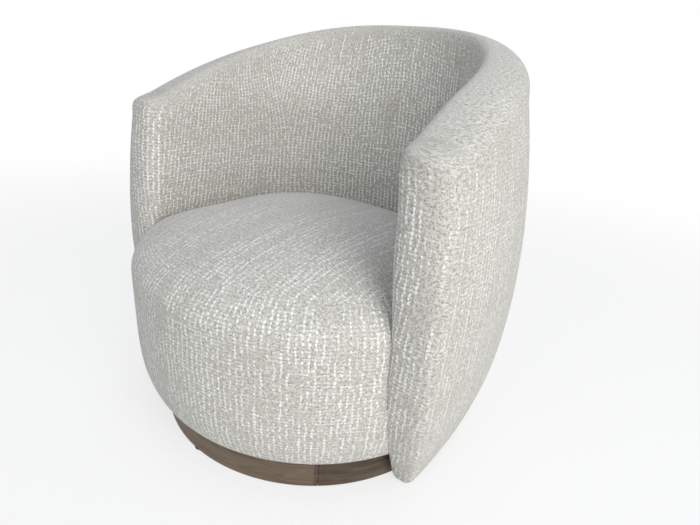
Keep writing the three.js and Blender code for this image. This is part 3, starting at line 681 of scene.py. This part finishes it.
def write_pale_yarn_light(piece, values):
    """Stores how much pale yarn shows at each point. It is partly painted light: more pale yarn lightens a face
    that sits in shade, and less darkens one or stands for sheen washing out the weave.
    """
    layer = piece.data.attributes.new("nap", "FLOAT", "POINT")
    layer.data.foreach_set("value", np.asarray(values, np.float32))


def set_coordinates(piece, places):
    piece.data.vertices.foreach_set("co", np.asarray(places).ravel())
    piece.data.update()


def pick(piece):
    bpy.ops.object.select_all(action="DESELECT")
    piece.select_set(True)
    bpy.context.view_layer.objects.active = piece


def finish_with(piece, kind, **settings):
    """Adds a modifier to the piece and applies it."""
    modifier = piece.modifiers.new(kind.title(), kind)
    for name, value in settings.items():
        setattr(modifier, name, value)
    bpy.ops.object.modifier_apply(modifier=modifier.name)


def close_seams(piece):
    """Merges the edges that lie on each other and turns every face outwards."""
    pick(piece)
    with editing():
        bpy.ops.mesh.select_all(action="SELECT")
        bpy.ops.mesh.remove_doubles(threshold=0.02 * MM)
        bpy.ops.mesh.dissolve_degenerate(threshold=0.01 * MM)
        face_outwards()


def inflate(piece, freedom, size):
    """Lets the stuffing swell the cover: it starts smaller by the slack and no point moves past the swell.
    Freedom is 0 for points that are nailed or pressed against something and 1 for free ones."""
    shaped, outwards = coordinates(piece), normals(piece)
    start = shaped - outwards * (size.slack * freedom)[:, None]
    set_coordinates(piece, start)
    group = piece.vertex_groups.new(name="nailed")
    for index in np.nonzero(freedom < NAILED)[0]:
        group.add([int(index)], 1.0, "REPLACE")
    cloth = piece.modifiers.new("Stuffing", "CLOTH")
    cloth.settings.use_pressure = True
    cloth.settings.uniform_pressure_force = PRESSURE
    cloth.settings.effector_weights.gravity = 0.0
    cloth.settings.vertex_group_mass = group.name
    cloth.point_cache.frame_start = 1
    cloth.point_cache.frame_end = SIMULATED_FRAMES
    scene = bpy.context.scene
    for number in range(1, SIMULATED_FRAMES + 1):
        scene.frame_set(number)
    swollen = coordinates(piece.evaluated_get(bpy.context.evaluated_depsgraph_get()))
    piece.modifiers.remove(cloth)
    scene.frame_set(1)
    moved = swollen - start
    distance = np.linalg.norm(moved, axis=1)
    limit = np.maximum(size.swell * freedom, LEAST_LIMIT)
    held = limit * np.tanh(distance / limit) / np.maximum(distance, LEAST_MOVE)
    settled = start + moved * held[:, None]
    sunk = ((shaped - settled) * outwards).sum(1)
    set_coordinates(piece, settled + outwards * np.maximum(0.0, sunk - DIP)[:, None])
    piece.vertex_groups.remove(group)


def refine(piece):
    pick(piece)
    finish_with(piece, "SUBSURF", levels=1, render_levels=1)
    bpy.ops.object.shade_smooth()


# Cloth coordinates of the shell


def join_angle(height):
    """Angle off the middle of the back at which the arm panel of the inner face meets the back panel."""
    share = (height - JOIN_LOW[0]) / (JOIN_HIGH[0] - JOIN_LOW[0])
    return mix(JOIN_LOW[1], JOIN_HIGH[1], share)


def shell_weave(piece, lattice, row, column):
    """Lays the cloth up the outer face, over the rim and down the inner face, and round the arm fronts."""
    rows, columns = lattice.shape[:2]
    crown_row = rows // 2 + 1
    left, right = NOSE_COLUMNS, columns - 1 - NOSE_COLUMNS
    upwards, around = lengths_along(lattice[FOOT_ROWS:crown_row + 1], 0), lengths_along(lattice, 1)
    round_outer, round_inner = around[FOOT_ROWS + LOWER_ROWS // 2], around[-1 - LOWER_ROWS // 2]
    outer_length = round_outer[right] - round_outer[left]
    inner_length = round_inner[right] - round_inner[left]
    wall_share = (round_outer - round_outer[left]) / outer_length - 0.5
    place = lattice[row, column]
    angle = np.arctan2(place[:, 0], place[:, 1] - AXIS_Y + OUTLINE_FORWARD)
    height = place[:, 2]
    mirror_row = np.clip(np.minimum(row, 2 * crown_row - row), FOOT_ROWS, crown_row)

    # Across the cloth: the outer length eases into the inner one over the rim
    progress = np.clip((row - (crown_row - ROLL_ROWS)) / (2.0 * ROLL_ROWS), 0, 1)
    across = wall_share[column] * mix(outer_length, inner_length, progress)
    along = upwards[mirror_row - FOOT_ROWS, column]

    # Arm fronts: each row is measured on from the outer ridge
    on_left = column < columns // 2
    side = np.where(on_left, -1.0, 1.0)
    ridge, end = np.where(on_left, left, right), np.where(on_left, 0, columns - 1)
    beyond = np.abs(around[mirror_row, column] - around[mirror_row, ridge])
    across_front = np.abs(around[mirror_row, end] - around[mirror_row, ridge])
    far_front = across_front + np.abs(around[row, column] - around[row, end])
    across = np.where((column < left) | (column > right), side * (outer_length / 2 + beyond), across)

    # Inner face: the threads of both panels lean away from the seam between them
    off = (np.abs(angle) - join_angle(height)) * inner_length / math.pi
    fade = np.exp(-np.abs(off) / JOIN_FADE)
    above = height - LEAN_START
    bend = np.hypot(above, LEAN_BEND)
    rise, slope = (above + bend) / 2, (1 + above / bend) / 2 * off
    beside = smooth_array(np.abs(angle) / MIDDLE_WIDTH)
    arm_across = np.abs(across) - ARM_LEAN * rise * fade
    back_across = np.abs(across) + BACK_LEAN * rise * fade * beside
    arm_along = -height - ARM_LEAN * slope * fade
    back_along = -height + BACK_LEAN * slope * fade * beside

    # Each face takes the cloth of its own panel
    corners = corner_points(piece)
    low_row, low_column = over_faces(piece, row, np.minimum), over_faces(piece, column, np.minimum)
    on_front = (low_column < left) | (low_column >= right)
    past_crown = low_row >= crown_row
    inside = (low_row >= crown_row + ROLL_ROWS - RIM_LAP) & ~on_front
    arm_panel = over_faces(piece, off, np.add) > 0
    far_side = (side * (outer_length / 2 + far_front))[corners]
    u = np.where(on_front & past_crown, far_side, across[corners])
    crown_length = upwards[-1, column][corners]
    v = np.where(past_crown & ~on_front, 2 * crown_length - along[corners], along[corners])
    inner_u = np.where(arm_panel, arm_across[corners] + PANEL_SHIFT, back_across[corners])
    inner_v = np.where(arm_panel, arm_along[corners], back_along[corners])
    u = np.where(inside, np.sign(angle[corners]) * inner_u * INNER_SCALE, u)
    v = np.where(inside, (INNER_TOP + inner_v) * INNER_SCALE, v)
    write_weave(piece, np.stack([u, v], 1))

    # Painted light: the inner face gets more pale yarn so that it reads lighter, and the rim less as painted
    # sheen; at the arm-front tips it fades out over the stretched cloth
    inner = smooth_array((row - crown_row) / ROLL_ROWS)
    rim = smooth_array((ROLL_ROWS + RIM_LAP - np.abs(row - crown_row)) / ROLL_ROWS)
    tip = lattice[crown_row, end]
    near_tip = 1 - smooth_array(np.linalg.norm(place - tip, axis=1) / TIP_REACH)
    nap = mix(mix(SHELL_YARN_LIGHT[0], SHELL_YARN_LIGHT[2], inner), SHELL_YARN_LIGHT[1], rim)
    write_pale_yarn_light(piece, nap * (1 - near_tip))


# Seat shape


def drum_reach(size, height):
    below = max(0.0, (DRUM_FULL - height) / (DRUM_FULL - DRUM_BOTTOM))
    return size.radius - DRUM_FOOT_DRAW * below**DRUM_FOOT_POWER


def seat_reach(size, angle, height, inset):
    """Distance from the outline's centre to the drum's circle, or to the seat's own outline behind."""
    radius = drum_reach(size, height) - inset
    sine, cosine = math.sin(angle), math.cos(angle)
    circle = OUTLINE_FORWARD * sine + math.sqrt(radius**2 - (OUTLINE_FORWARD * cosine) ** 2)
    half_width, half_depth = (value - inset for value in SEAT_OUTLINE)
    across, along = abs(cosine / half_width) ** SEAT_POWER, abs(sine / half_depth) ** SEAT_POWER
    outline = (across + along) ** (-1 / SEAT_POWER)
    if circle * sine - OUTLINE_FORWARD < HIDDEN_FROM:
        return circle
    return min(circle, outline)


def seat_lattice(size, shape, shell_tree):
    """Square rings of points: the dome from the middle outwards, the drum's side and a turned-in lip."""
    rings = DOME_RINGS + SIDE_RINGS + 1
    count = 2 * rings + 1
    points = np.zeros((count, count, 3))
    free = np.ones((count, count))

    def limit(angle, height, wanted):
        direction = Vector((math.cos(angle), math.sin(angle), 0.0))
        start = Vector((0.0, AXIS_Y - OUTLINE_FORWARD, max(height, HEM_HEIGHT + HEM_CLEAR)))
        behind_front = math.asin(math.sin(angle)) - shape.first_angle(False, height)
        gap = mix(-FRONT_PRESS, SEAT_GAP, smooth(behind_front / FRONT_TURN))
        wall = shape.reach(False, height, angle) - gap if behind_front > 0 else OPEN_REACH
        hit = shell_tree.ray_cast(start, direction)
        if hit[0] is not None and height > HEM_HEIGHT:
            wall = min(wall, hit[3] - gap)
        return min(wanted, wall), wall

    def dome_edge(angle):
        return limit(angle, DOME_START, seat_reach(size, angle, DOME_START, 0.0))[0]

    for i in range(-rings, rings + 1):
        for j in range(-rings, rings + 1):
            ring = max(abs(i), abs(j))
            if not ring:
                points[j + rings, i + rings] = (0.0, -OUTLINE_FORWARD, DOME_START + size.dome_rise)
                continue
            if abs(i) >= abs(j):
                angle = math.pi / 4 * j / i + (math.pi if i < 0 else 0.0)
            else:
                angle = math.pi / 2 - math.pi / 4 * i / j + (math.pi if j < 0 else 0.0)
            if ring <= DOME_RINGS:
                bow = math.pi / 2 * ring / DOME_RINGS
                share = math.sin(bow) ** (2 / DOME_POWER)
                height = DOME_START + size.dome_rise * max(0.0, math.cos(bow))
                wanted = share * dome_edge(angle)
            else:
                part = min(1.0, (ring - DOME_RINGS) / SIDE_RINGS)
                front = seat_reach(size, angle, DOME_START, 0.0) * math.sin(angle) - OUTLINE_FORWARD
                hidden = smooth((front - HIDDEN_FROM) / (HIDDEN_TO - HIDDEN_FROM))
                foot = mix(DRUM_BOTTOM, HIDDEN_FOOT, hidden)
                height = mix(DOME_START, foot, part)
                inset = COVER if ring > DOME_RINGS + SIDE_RINGS else 0.0
                wanted = seat_reach(size, angle, height, inset)
            reach, wall = limit(angle, height, wanted)
            nailed = ring >= DOME_RINGS + SIDE_RINGS - 1
            free[j + rings, i + rings] = 0.0 if nailed else smooth((wall - reach) / SEAT_CLEAR)
            points[j + rings, i + rings] = (
                reach * math.cos(angle), reach * math.sin(angle) - OUTLINE_FORWARD, height)
    return points + np.array((0.0, AXIS_Y, 0.0)), free


def seat_weave(piece, size, lattice, row, column):
    """The dome's cloth runs from front to back and the drum's straight down, each as long as the cloth is."""
    rings = DOME_RINGS + SIDE_RINGS + 1
    ring = np.maximum(np.abs(row - rings), np.abs(column - rings))
    place = lattice[row, column] - np.array((0.0, AXIS_Y, 0.0))
    angle = np.arctan2(place[:, 1] + OUTLINE_FORWARD, place[:, 0])
    reach = np.hypot(place[:, 0], place[:, 1] + OUTLINE_FORWARD)
    edge = np.nonzero(ring == DOME_RINGS)[0]
    edge = edge[np.argsort(angle[edge])]
    edge_reach = np.interp(angle, angle[edge], reach[edge], period=2 * math.pi)
    bows = math.pi / 2 * np.arange(DOME_RINGS + 1) / DOME_RINGS
    outwards, falls = np.diff(np.sin(bows) ** (2 / DOME_POWER)), np.diff(np.cos(bows)) * size.dome_rise
    lengths = np.cumsum(np.hypot(edge_reach[:, None] * outwards, falls), axis=1)
    lengths = np.pad(lengths, ((0, 0), (1, 0)))
    points = np.arange(len(ring))
    from_crown = lengths[points, np.minimum(ring, DOME_RINGS)] + np.maximum(0.0, DOME_START - place[:, 2])
    top = np.stack([np.cos(angle) * from_crown, np.sin(angle) * from_crown], 1)
    girth = size.radius * np.arctan2(place[:, 0], -place[:, 1])
    side = np.stack([girth + SIDE_SHIFT, lengths[points, SEAM_RING] - from_crown], 1)
    corners = corner_points(piece)
    on_side = over_faces(piece, ring, np.minimum) >= SEAM_RING
    write_weave(piece, np.where(on_side[:, None], side[corners], top[corners]))
    # Painted shade and sheen: the seat top shows less pale yarn towards the back, which darkens it and washes
    # out its weave
    on_dome = 1 - smooth_array((ring - SEAM_RING) / SEAM_FADE + 0.5)
    backwards = smooth_array((place[:, 1] + YARN_SHADE_FRONT) / YARN_SHADE_DEPTH)
    write_pale_yarn_light(piece, mix(1.0, mix(SEAT_YARN_SHADE[0], SEAT_YARN_SHADE[1], backwards), on_dome))


def fill_inside(piece):
    """Turns the seat's lower edge in, up behind the cover and across under the foam."""
    pick(piece)
    with editing():
        bpy.ops.mesh.select_all(action="DESELECT")
        bpy.ops.mesh.select_non_manifold(extend=False, use_wire=False, use_boundary=True)
        for _ in range(2):
            bpy.ops.mesh.extrude_region_move(TRANSFORM_OT_translate={"value": (0.0, 0.0, TURN_IN)})
    chosen = np.array([vertex.select for vertex in piece.data.vertices])
    places = coordinates(piece)
    places[chosen, 2] = FOAM_BOTTOM
    set_coordinates(piece, places)
    with editing():
        bpy.ops.mesh.extrude_region_move(TRANSFORM_OT_translate={"value": (0.0, 0.0, 0.0)})
        bpy.ops.transform.resize(value=(INFILL, INFILL, 1.0), center_override=(0.0, 0.0, FOAM_BOTTOM))
        bpy.ops.mesh.edge_face_add()
        bpy.ops.mesh.quads_convert_to_tris()
        face_outwards()


# Settings


def setting(name, description, default, **limits):
    return FloatProperty(name=name, description=description, default=default, **limits)


def length(name, description, default):
    return setting(name, description, default, unit="LENGTH", precision=4)


def power(name, description, default):
    return setting(name, description, default, unit="POWER")


def colour(name, description, default):
    return FloatVectorProperty(
        name=name, description=description, default=default, size=3, subtype="COLOR", min=0.0, max=1.0)


class ShellSettings(PropertyGroup):
    half_width: length("Half width", "Half of the shell's width at its fullest", 400 * MM)
    back_reach: length("Back reach", "From the swivel axis to the back at its fullest", 356 * MM)
    height: length("Height", "Top of the back above the floor", 783 * MM)
    roll_height: length("Roll height", "Height of the rounded rim", 48 * MM)
    slack: length("Slack", "How much smaller the cover starts before it swells", 4 * MM)
    swell: length("Swell", "How far the stuffing may push the cover out", 6 * MM)


class SeatSettings(PropertyGroup):
    radius: length("Drum radius", "Radius of the drum at its fullest", 373 * MM)
    dome_rise: length("Dome rise", "Height of the crown above the drum", 103 * MM)
    slack: length("Slack", "How much smaller the cover starts before it swells", 3 * MM)
    swell: length("Swell", "How far the stuffing may push the cover out", 5 * MM)


class PlinthSettings(PropertyGroup):
    bevel: length("Bevel", "Rounding of the plinth's edges", 1.2 * MM)
    board_length: length("Board length", "Length round the plinth of one board's grain", 255 * MM)
    dark_colour: colour("Dark grain", "Stain in the pores and dark grain", (0.055, 0.036, 0.022))
    middle_colour: colour("Middle grain", "Stain between dark and light grain", (0.125, 0.085, 0.055))
    light_colour: colour("Light grain", "Stain on the light grain", (0.22, 0.165, 0.115))
    worn_colour: colour("Worn patch", "Greyish wood where the stain has worn", (0.24, 0.2, 0.155))


class FabricSettings(PropertyGroup):
    warp_pitch: length("Warp pitch", "Distance between neighbouring upright threads", 10.2 * MM)
    weft_pitch: length("Weft pitch", "Distance between neighbouring cross threads", 6.6 * MM)
    thread_sway: length("Thread sway", "How far threads wander sideways", 7 * MM)
    sheen: setting("Sheen", "Soft edge shine of the pile", 0.25, min=0.0, max=1.0)
    base_colour: colour("Ground", "Colour of the pile", (0.62, 0.595, 0.545))
    shade_colour: colour("Hollows", "Colour between the tufts", (0.33, 0.31, 0.28))
    fleck_colour: colour("Flecks", "Pale specks in the pile", (0.82, 0.81, 0.78))
    slub_colour: colour("Slubs", "Colour of the pale slub yarn", (1.0, 0.99, 0.965))


class StudioSettings(PropertyGroup):
    key_power: power("Key power", "Power of the large soft lamp", 90.0)
    front_power: power("Front power", "Power of the lamp before the chair", 4.0)
    top_power: power("Top power", "Power of the overhead lamp", 35.0)
    back_power: power("Back power", "Power of the lamp behind the chair", 34.0)
    world_strength: setting("Room light", "Strength of the even room light", 0.335)
    world_colour: colour("Room light colour", "Tint of the even room light", (0.98, 1.0, 0.96))
    floor_colour: colour("Floor", "Colour of the plain floor", (0.86, 0.86, 0.86))


def fabric():
    return bpy.data.materials.get("woven_chenille") or chenille(bpy.context.scene.chair_fabric)


def dress(piece, material):
    piece.data.materials.clear()
    piece.data.materials.append(material)


# Operators


class CHAIR_OT_shell(Operator):
    """Makes the padded shell: outside, rounded rim, inner face and arm fronts under one cover"""

    bl_idname = "chair.shell"
    bl_label = "Upholstered shell"

    def execute(self, context):
        size = context.scene.chair_shell
        shape = ShellShape(size)
        lattice = shell_lattice(shape)
        piece, row, column = grid_piece("upholstered_shell", lattice)
        shell_weave(piece, lattice, row, column)
        close_seams(piece)
        places = coordinates(piece)
        foot = smooth_array((places[:, 2] - HELD_FOOT) / FREE_FOOT)
        inflate(piece, foot * free_of_seat(shape, places), size)
        refine(piece)
        dress(piece, fabric())
        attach(piece, BODY)
        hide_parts("back_cover", "back_pad", "top_roll_pad")
        return {"FINISHED"}


def free_of_seat(shape, places):
    """1 on free parts of the shell, 0 where the inner face is pressed by the seat."""
    freedom = np.ones(len(places))
    for index, (x, y, z) in enumerate(places):
        if z > SWELL_END or y < AXIS_Y - PRESSED_BACK:
            continue
        angle = math.atan2(y - AXIS_Y + OUTLINE_FORWARD, x)
        reach = math.hypot(x, y - AXIS_Y + OUTLINE_FORWARD)
        if reach < shape.reach(False, z, angle) + PRESSED_REACH:
            freedom[index] = smooth((z - PRESSED_HEIGHT) / PRESSED_FADE)
    return freedom


class CHAIR_OT_seat(Operator):
    """Makes the padded seat: a domed top that runs down the drum's side as one cover"""

    bl_idname = "chair.seat"
    bl_label = "Upholstered seat"

    def execute(self, context):
        size = context.scene.chair_seat
        shell = bpy.data.objects["upholstered_shell"]
        tree = BVHTree.FromObject(shell, context.evaluated_depsgraph_get())
        lattice, free = seat_lattice(size, ShellShape(context.scene.chair_shell), tree)
        piece, row, column = grid_piece("upholstered_seat", lattice)
        seat_weave(piece, size, lattice, row, column)
        fill_inside(piece)
        freedom = np.zeros(len(piece.data.vertices))
        freedom[:len(row)] = free[row, column]
        inflate(piece, freedom, size)
        refine(piece)
        dress(piece, fabric())
        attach(piece, BODY)
        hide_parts("seat_cover", "seat_foam")
        return {"FINISHED"}


class CHAIR_OT_straps(Operator):
    """Makes the jute straps under the foam, each a flat band with thicker selvedges"""

    bl_idname = "chair.straps"
    bl_label = "Webbing straps"

    def execute(self, context):
        jute = webbing()
        for node in [name for name in NODES if name.startswith(("side_strap", "long_strap"))]:
            low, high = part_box(node)
            bpy.ops.mesh.primitive_cube_add(size=1, location=(low + high) / 2)
            piece = sized(node.replace("strap", "webbing"), high - low)
            with editing():
                bpy.ops.mesh.select_mode(type="FACE")
            for face in piece.data.polygons:
                face.select = abs(face.normal.z) > 0.5
            with editing():
                bpy.ops.mesh.inset(thickness=SELVEDGE, use_individual=True)
                bpy.ops.transform.resize(value=(1.0, 1.0, WEBBING_SHARE), center_override=(low + high) / 2)
            finish_with(piece, "BEVEL", width=SELVEDGE / 6, segments=2)
            bpy.ops.object.shade_smooth_by_angle(angle=STRAP_SMOOTH)
            dress(piece, jute)
            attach(piece, BODY)
            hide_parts(node)
        return {"FINISHED"}


class CHAIR_OT_lining(Operator):
    """Makes the stretched lining cloth under the body, a ring that is tacked along its outer edge"""

    bl_idname = "chair.lining"
    bl_label = "Lining cloth"

    def execute(self, context):
        size = context.scene.chair_seat
        shape = ShellShape(context.scene.chair_shell)
        low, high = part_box("dust_cover")
        opening = round_axis(NODES["dust_cover"])[1].min()
        rows = []
        for ring in range(LINING_RINGS + 1):
            share = ring / LINING_RINGS
            row = []
            for step in range(LINING_STEPS + 1):
                angle = 2 * math.pi * step / LINING_STEPS
                sine, cosine = math.sin(angle), math.cos(angle)
                edge = seat_reach(size, angle, low.z, LINING_INSET)
                if math.asin(sine) > shape.first_angle(False, low.z):
                    edge = min(edge, shape.reach(False, low.z, angle) - LINING_INSET)
                hole = OUTLINE_FORWARD * sine + math.sqrt(opening**2 - (OUTLINE_FORWARD * cosine) ** 2)
                reach = mix(hole, edge, share)
                pucker = 1 - LINING_PUCKER + LINING_PUCKER * math.sin(LINING_TACKS * angle)
                sag = LINING_SAG * math.sin(math.pi * share) * pucker
                row.append((reach * cosine, reach * sine - OUTLINE_FORWARD + AXIS_Y, high.z - sag))
            rows.append(row)
        piece, _, _ = grid_piece("lining_cloth", np.array(rows))
        close_seams(piece)
        finish_with(piece, "SOLIDIFY", thickness=LINING_THICKNESS, offset=0.0)
        bpy.ops.object.shade_smooth_by_angle(angle=LINING_SMOOTH)
        dress(piece, lining())
        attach(piece, BODY)
        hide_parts("dust_cover")
        return {"FINISHED"}


class CHAIR_OT_plinth(Operator):
    """Makes the four curved boards of the plinth, with eased edges and grain running round"""

    bl_idname = "chair.plinth"
    bl_label = "Wooden plinth"

    def execute(self, context):
        look = context.scene.chair_plinth
        wood = stained_wood(look)
        low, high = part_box("plinth_segment_1")
        segments = [f"plinth_segment_{number}" for number in range(1, 5)]
        radii = np.concatenate([round_axis(NODES[node])[1] for node in segments])
        section = radii.min(), radii.max(), low.z, high.z
        for node in segments:
            middle = coordinates(NODES[node]).mean(0)
            angle = math.atan2(middle[1] - AXIS_Y, middle[0])
            turns = round_axis(NODES[node], angle)[0]
            name = node.replace("segment", "board")
            piece = self.board(name, section, angle, (turns.min(), turns.max()), look.bevel)
            dress(piece, wood)
            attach(piece, BASE)
            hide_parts(node)
        return {"FINISHED"}

    def board(self, name, section, angle, ends, bevel):
        """Spins the board's end face round the axis, then eases its edges."""
        inside, outside, low, high = section
        start, middle = angle + ends[0], (inside + outside) / 2
        centre = (middle * math.cos(start), middle * math.sin(start) + AXIS_Y, (low + high) / 2)
        bpy.ops.mesh.primitive_plane_add(size=1, location=centre, rotation=(math.pi / 2, 0.0, start))
        piece = sized(name, (outside - inside, high - low, 1.0))
        with editing():
            bpy.ops.mesh.select_all(action="SELECT")
            bpy.ops.mesh.spin(
                steps=BOARD_STEPS, angle=ends[1] - ends[0], center=(0.0, AXIS_Y, 0.0), axis=(0.0, 0.0, 1.0))
            bpy.ops.mesh.select_all(action="SELECT")
            bpy.ops.mesh.remove_doubles(threshold=0.01 * MM)
            face_outwards()
        finish_with(piece, "BEVEL", width=bevel, segments=3, limit_method="ANGLE")
        bpy.ops.object.shade_smooth_by_angle(angle=BOARD_SMOOTH)
        turn, reach = round_axis(piece, angle)
        if not piece.data.uv_layers:
            piece.data.uv_layers.new(name="weave")
        grain = np.stack([(turn + angle + GRAIN_SHIFT) * outside, coordinates(piece)[:, 2] + reach], 1)
        write_weave(piece, grain[corner_points(piece)])
        return piece


class CHAIR_OT_hidden(Operator):
    """Gives the frame and the bearing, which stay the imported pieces, their finishes"""

    bl_idname = "chair.hidden"
    bl_label = "Frame and bearing"

    def execute(self, context):
        ply, metal, plastic = plywood(), steel(), nylon()
        for name, node in NODES.items():
            if name.startswith(METAL_PARTS):
                finish = metal
            else:
                finish = plastic if name.startswith(PLASTIC_PARTS) else ply
            if not node.hide_render:
                dress(node, finish)
        return {"FINISHED"}


class CHAIR_OT_stage(Operator):
    """Sets the plain pale floor, the soft lamps, the even room light and the camera"""

    bl_idname = "chair.stage"
    bl_label = "Studio"

    def execute(self, context):
        look = context.scene.chair_studio
        scene = context.scene
        scene.view_settings.view_transform = "Standard"
        self.floor(look)
        self.room(scene, look)
        self.lamp("key_lamp", look.key_power, width=2.6, place=(3.0, -1.3, 2.0), tint=(1.0, 0.99, 0.965))
        self.lamp("front_lamp", look.front_power, width=2.6, place=(0.6, -3.0, 1.9), tint=(1.0, 0.99, 0.97))
        self.lamp("top_lamp", look.top_power, width=3.0, place=(0.3, -0.6, 3.2), tint=(0.74, 0.84, 1.0))
        self.lamp("back_lamp", look.back_power, width=2.6, place=(-1.8, 3.2, 1.1), tint=(0.97, 0.985, 1.0))
        self.camera(scene)
        return {"FINISHED"}

    def floor(self, look):
        bpy.ops.mesh.primitive_plane_add(size=FLOOR_SIZE)
        floor = named("studio_floor")
        g = material_graph("plain_floor")
        colours = {"Base Color": (*look.floor_colour, 1.0), "Roughness": 0.9}
        ground = g.node("ShaderNodeBsdfPrincipled", sockets=colours)
        white = g.node("ShaderNodeEmission", sockets={"Color": WHITE})
        x, y, _ = g.parts(g.place())
        far = g.between(g.math("SQRT", x * x + y * y), FLOOR_NEAR, FLOOR_FAR, 0.72, 1.0)
        shown = g.node("ShaderNodeMixShader", sockets={0: g.seen() * far, 1: ground, 2: white})
        g.node("ShaderNodeOutputMaterial", sockets={"Surface": shown})
        dress(floor, g.owner)

    def room(self, scene, look):
        scene.world = bpy.data.worlds.new("studio_room")
        g = Graph(scene.world)
        light = {"Color": (*look.world_colour, 1.0), "Strength": look.world_strength}
        even = g.node("ShaderNodeBackground", sockets=light)
        white = g.node("ShaderNodeBackground", sockets={"Color": WHITE})
        shown = g.node("ShaderNodeMixShader", sockets={0: g.seen(), 1: even, 2: white})
        g.node("ShaderNodeOutputWorld", sockets={"Surface": shown})

    def lamp(self, name, power, width, place, tint):
        bpy.ops.object.light_add(type="AREA", location=place)
        lamp = named(name)
        lamp.data.energy = power
        lamp.data.size = width
        lamp.data.color = tint
        lamp.rotation_euler = (LAMP_AIM - Vector(place)).to_track_quat("-Z", "Y").to_euler()

    def camera(self, scene):
        turn, tilt, roll = CAMERA_TURN, CAMERA_TILT, CAMERA_ROLL
        back = Vector((math.sin(turn) * math.cos(tilt), -math.cos(turn) * math.cos(tilt), math.sin(tilt)))
        right = Vector((math.cos(turn), math.sin(turn), 0.0))
        up = back.cross(right)
        aim = right * AIM_RIGHT + Vector((0.0, AXIS_Y, AIM_HEIGHT))
        across = right * math.cos(roll) + up * math.sin(roll)
        above = up * math.cos(roll) - right * math.sin(roll)
        bpy.ops.object.camera_add(location=aim + back * CAMERA_BACK)
        camera = named("photo_camera")
        camera.rotation_euler = Matrix((across, above, back)).transposed().to_euler()
        camera.data.sensor_width = SENSOR_WIDTH
        camera.data.lens = CAMERA_LENS
        camera.data.clip_end = CLIP_END
        scene.camera = camera


class CHAIR_PT_panel(Panel):
    bl_idname = "CHAIR_PT_panel"
    bl_label = "Barrel Chair"
    bl_space_type = "VIEW_3D"
    bl_region_type = "UI"
    bl_category = "Barrel Chair"

    def draw(self, context):
        for operator in OPERATORS:
            self.layout.operator(operator.bl_idname)
        for name in SETTINGS:
            group = getattr(context.scene, name)
            for key in group.bl_rna.properties.keys():
                if key not in ("rna_type", "name"):
                    self.layout.prop(group, key)


OPERATORS = (
    CHAIR_OT_stage, CHAIR_OT_shell, CHAIR_OT_seat, CHAIR_OT_straps, CHAIR_OT_lining, CHAIR_OT_plinth,
    CHAIR_OT_hidden,
)
SETTINGS = {
    "chair_shell": ShellSettings,
    "chair_seat": SeatSettings,
    "chair_plinth": PlinthSettings,
    "chair_fabric": FabricSettings,
    "chair_studio": StudioSettings,
}


def register():
    for made in (*SETTINGS.values(), *OPERATORS, CHAIR_PT_panel):
        bpy.utils.register_class(made)
    for name, group in SETTINGS.items():
        setattr(bpy.types.Scene, name, PointerProperty(type=group))


def unregister():
    for name in SETTINGS:
        delattr(bpy.types.Scene, name)
    for made in reversed((*SETTINGS.values(), *OPERATORS, CHAIR_PT_panel)):
        bpy.utils.unregister_class(made)


def main():
    register()
    bpy.ops.chair.stage()
    bpy.ops.chair.shell()
    bpy.ops.chair.seat()
    bpy.ops.chair.straps()
    bpy.ops.chair.lining()
    bpy.ops.chair.plinth()
    bpy.ops.chair.hidden()


if __name__ == "__main__":
    main()
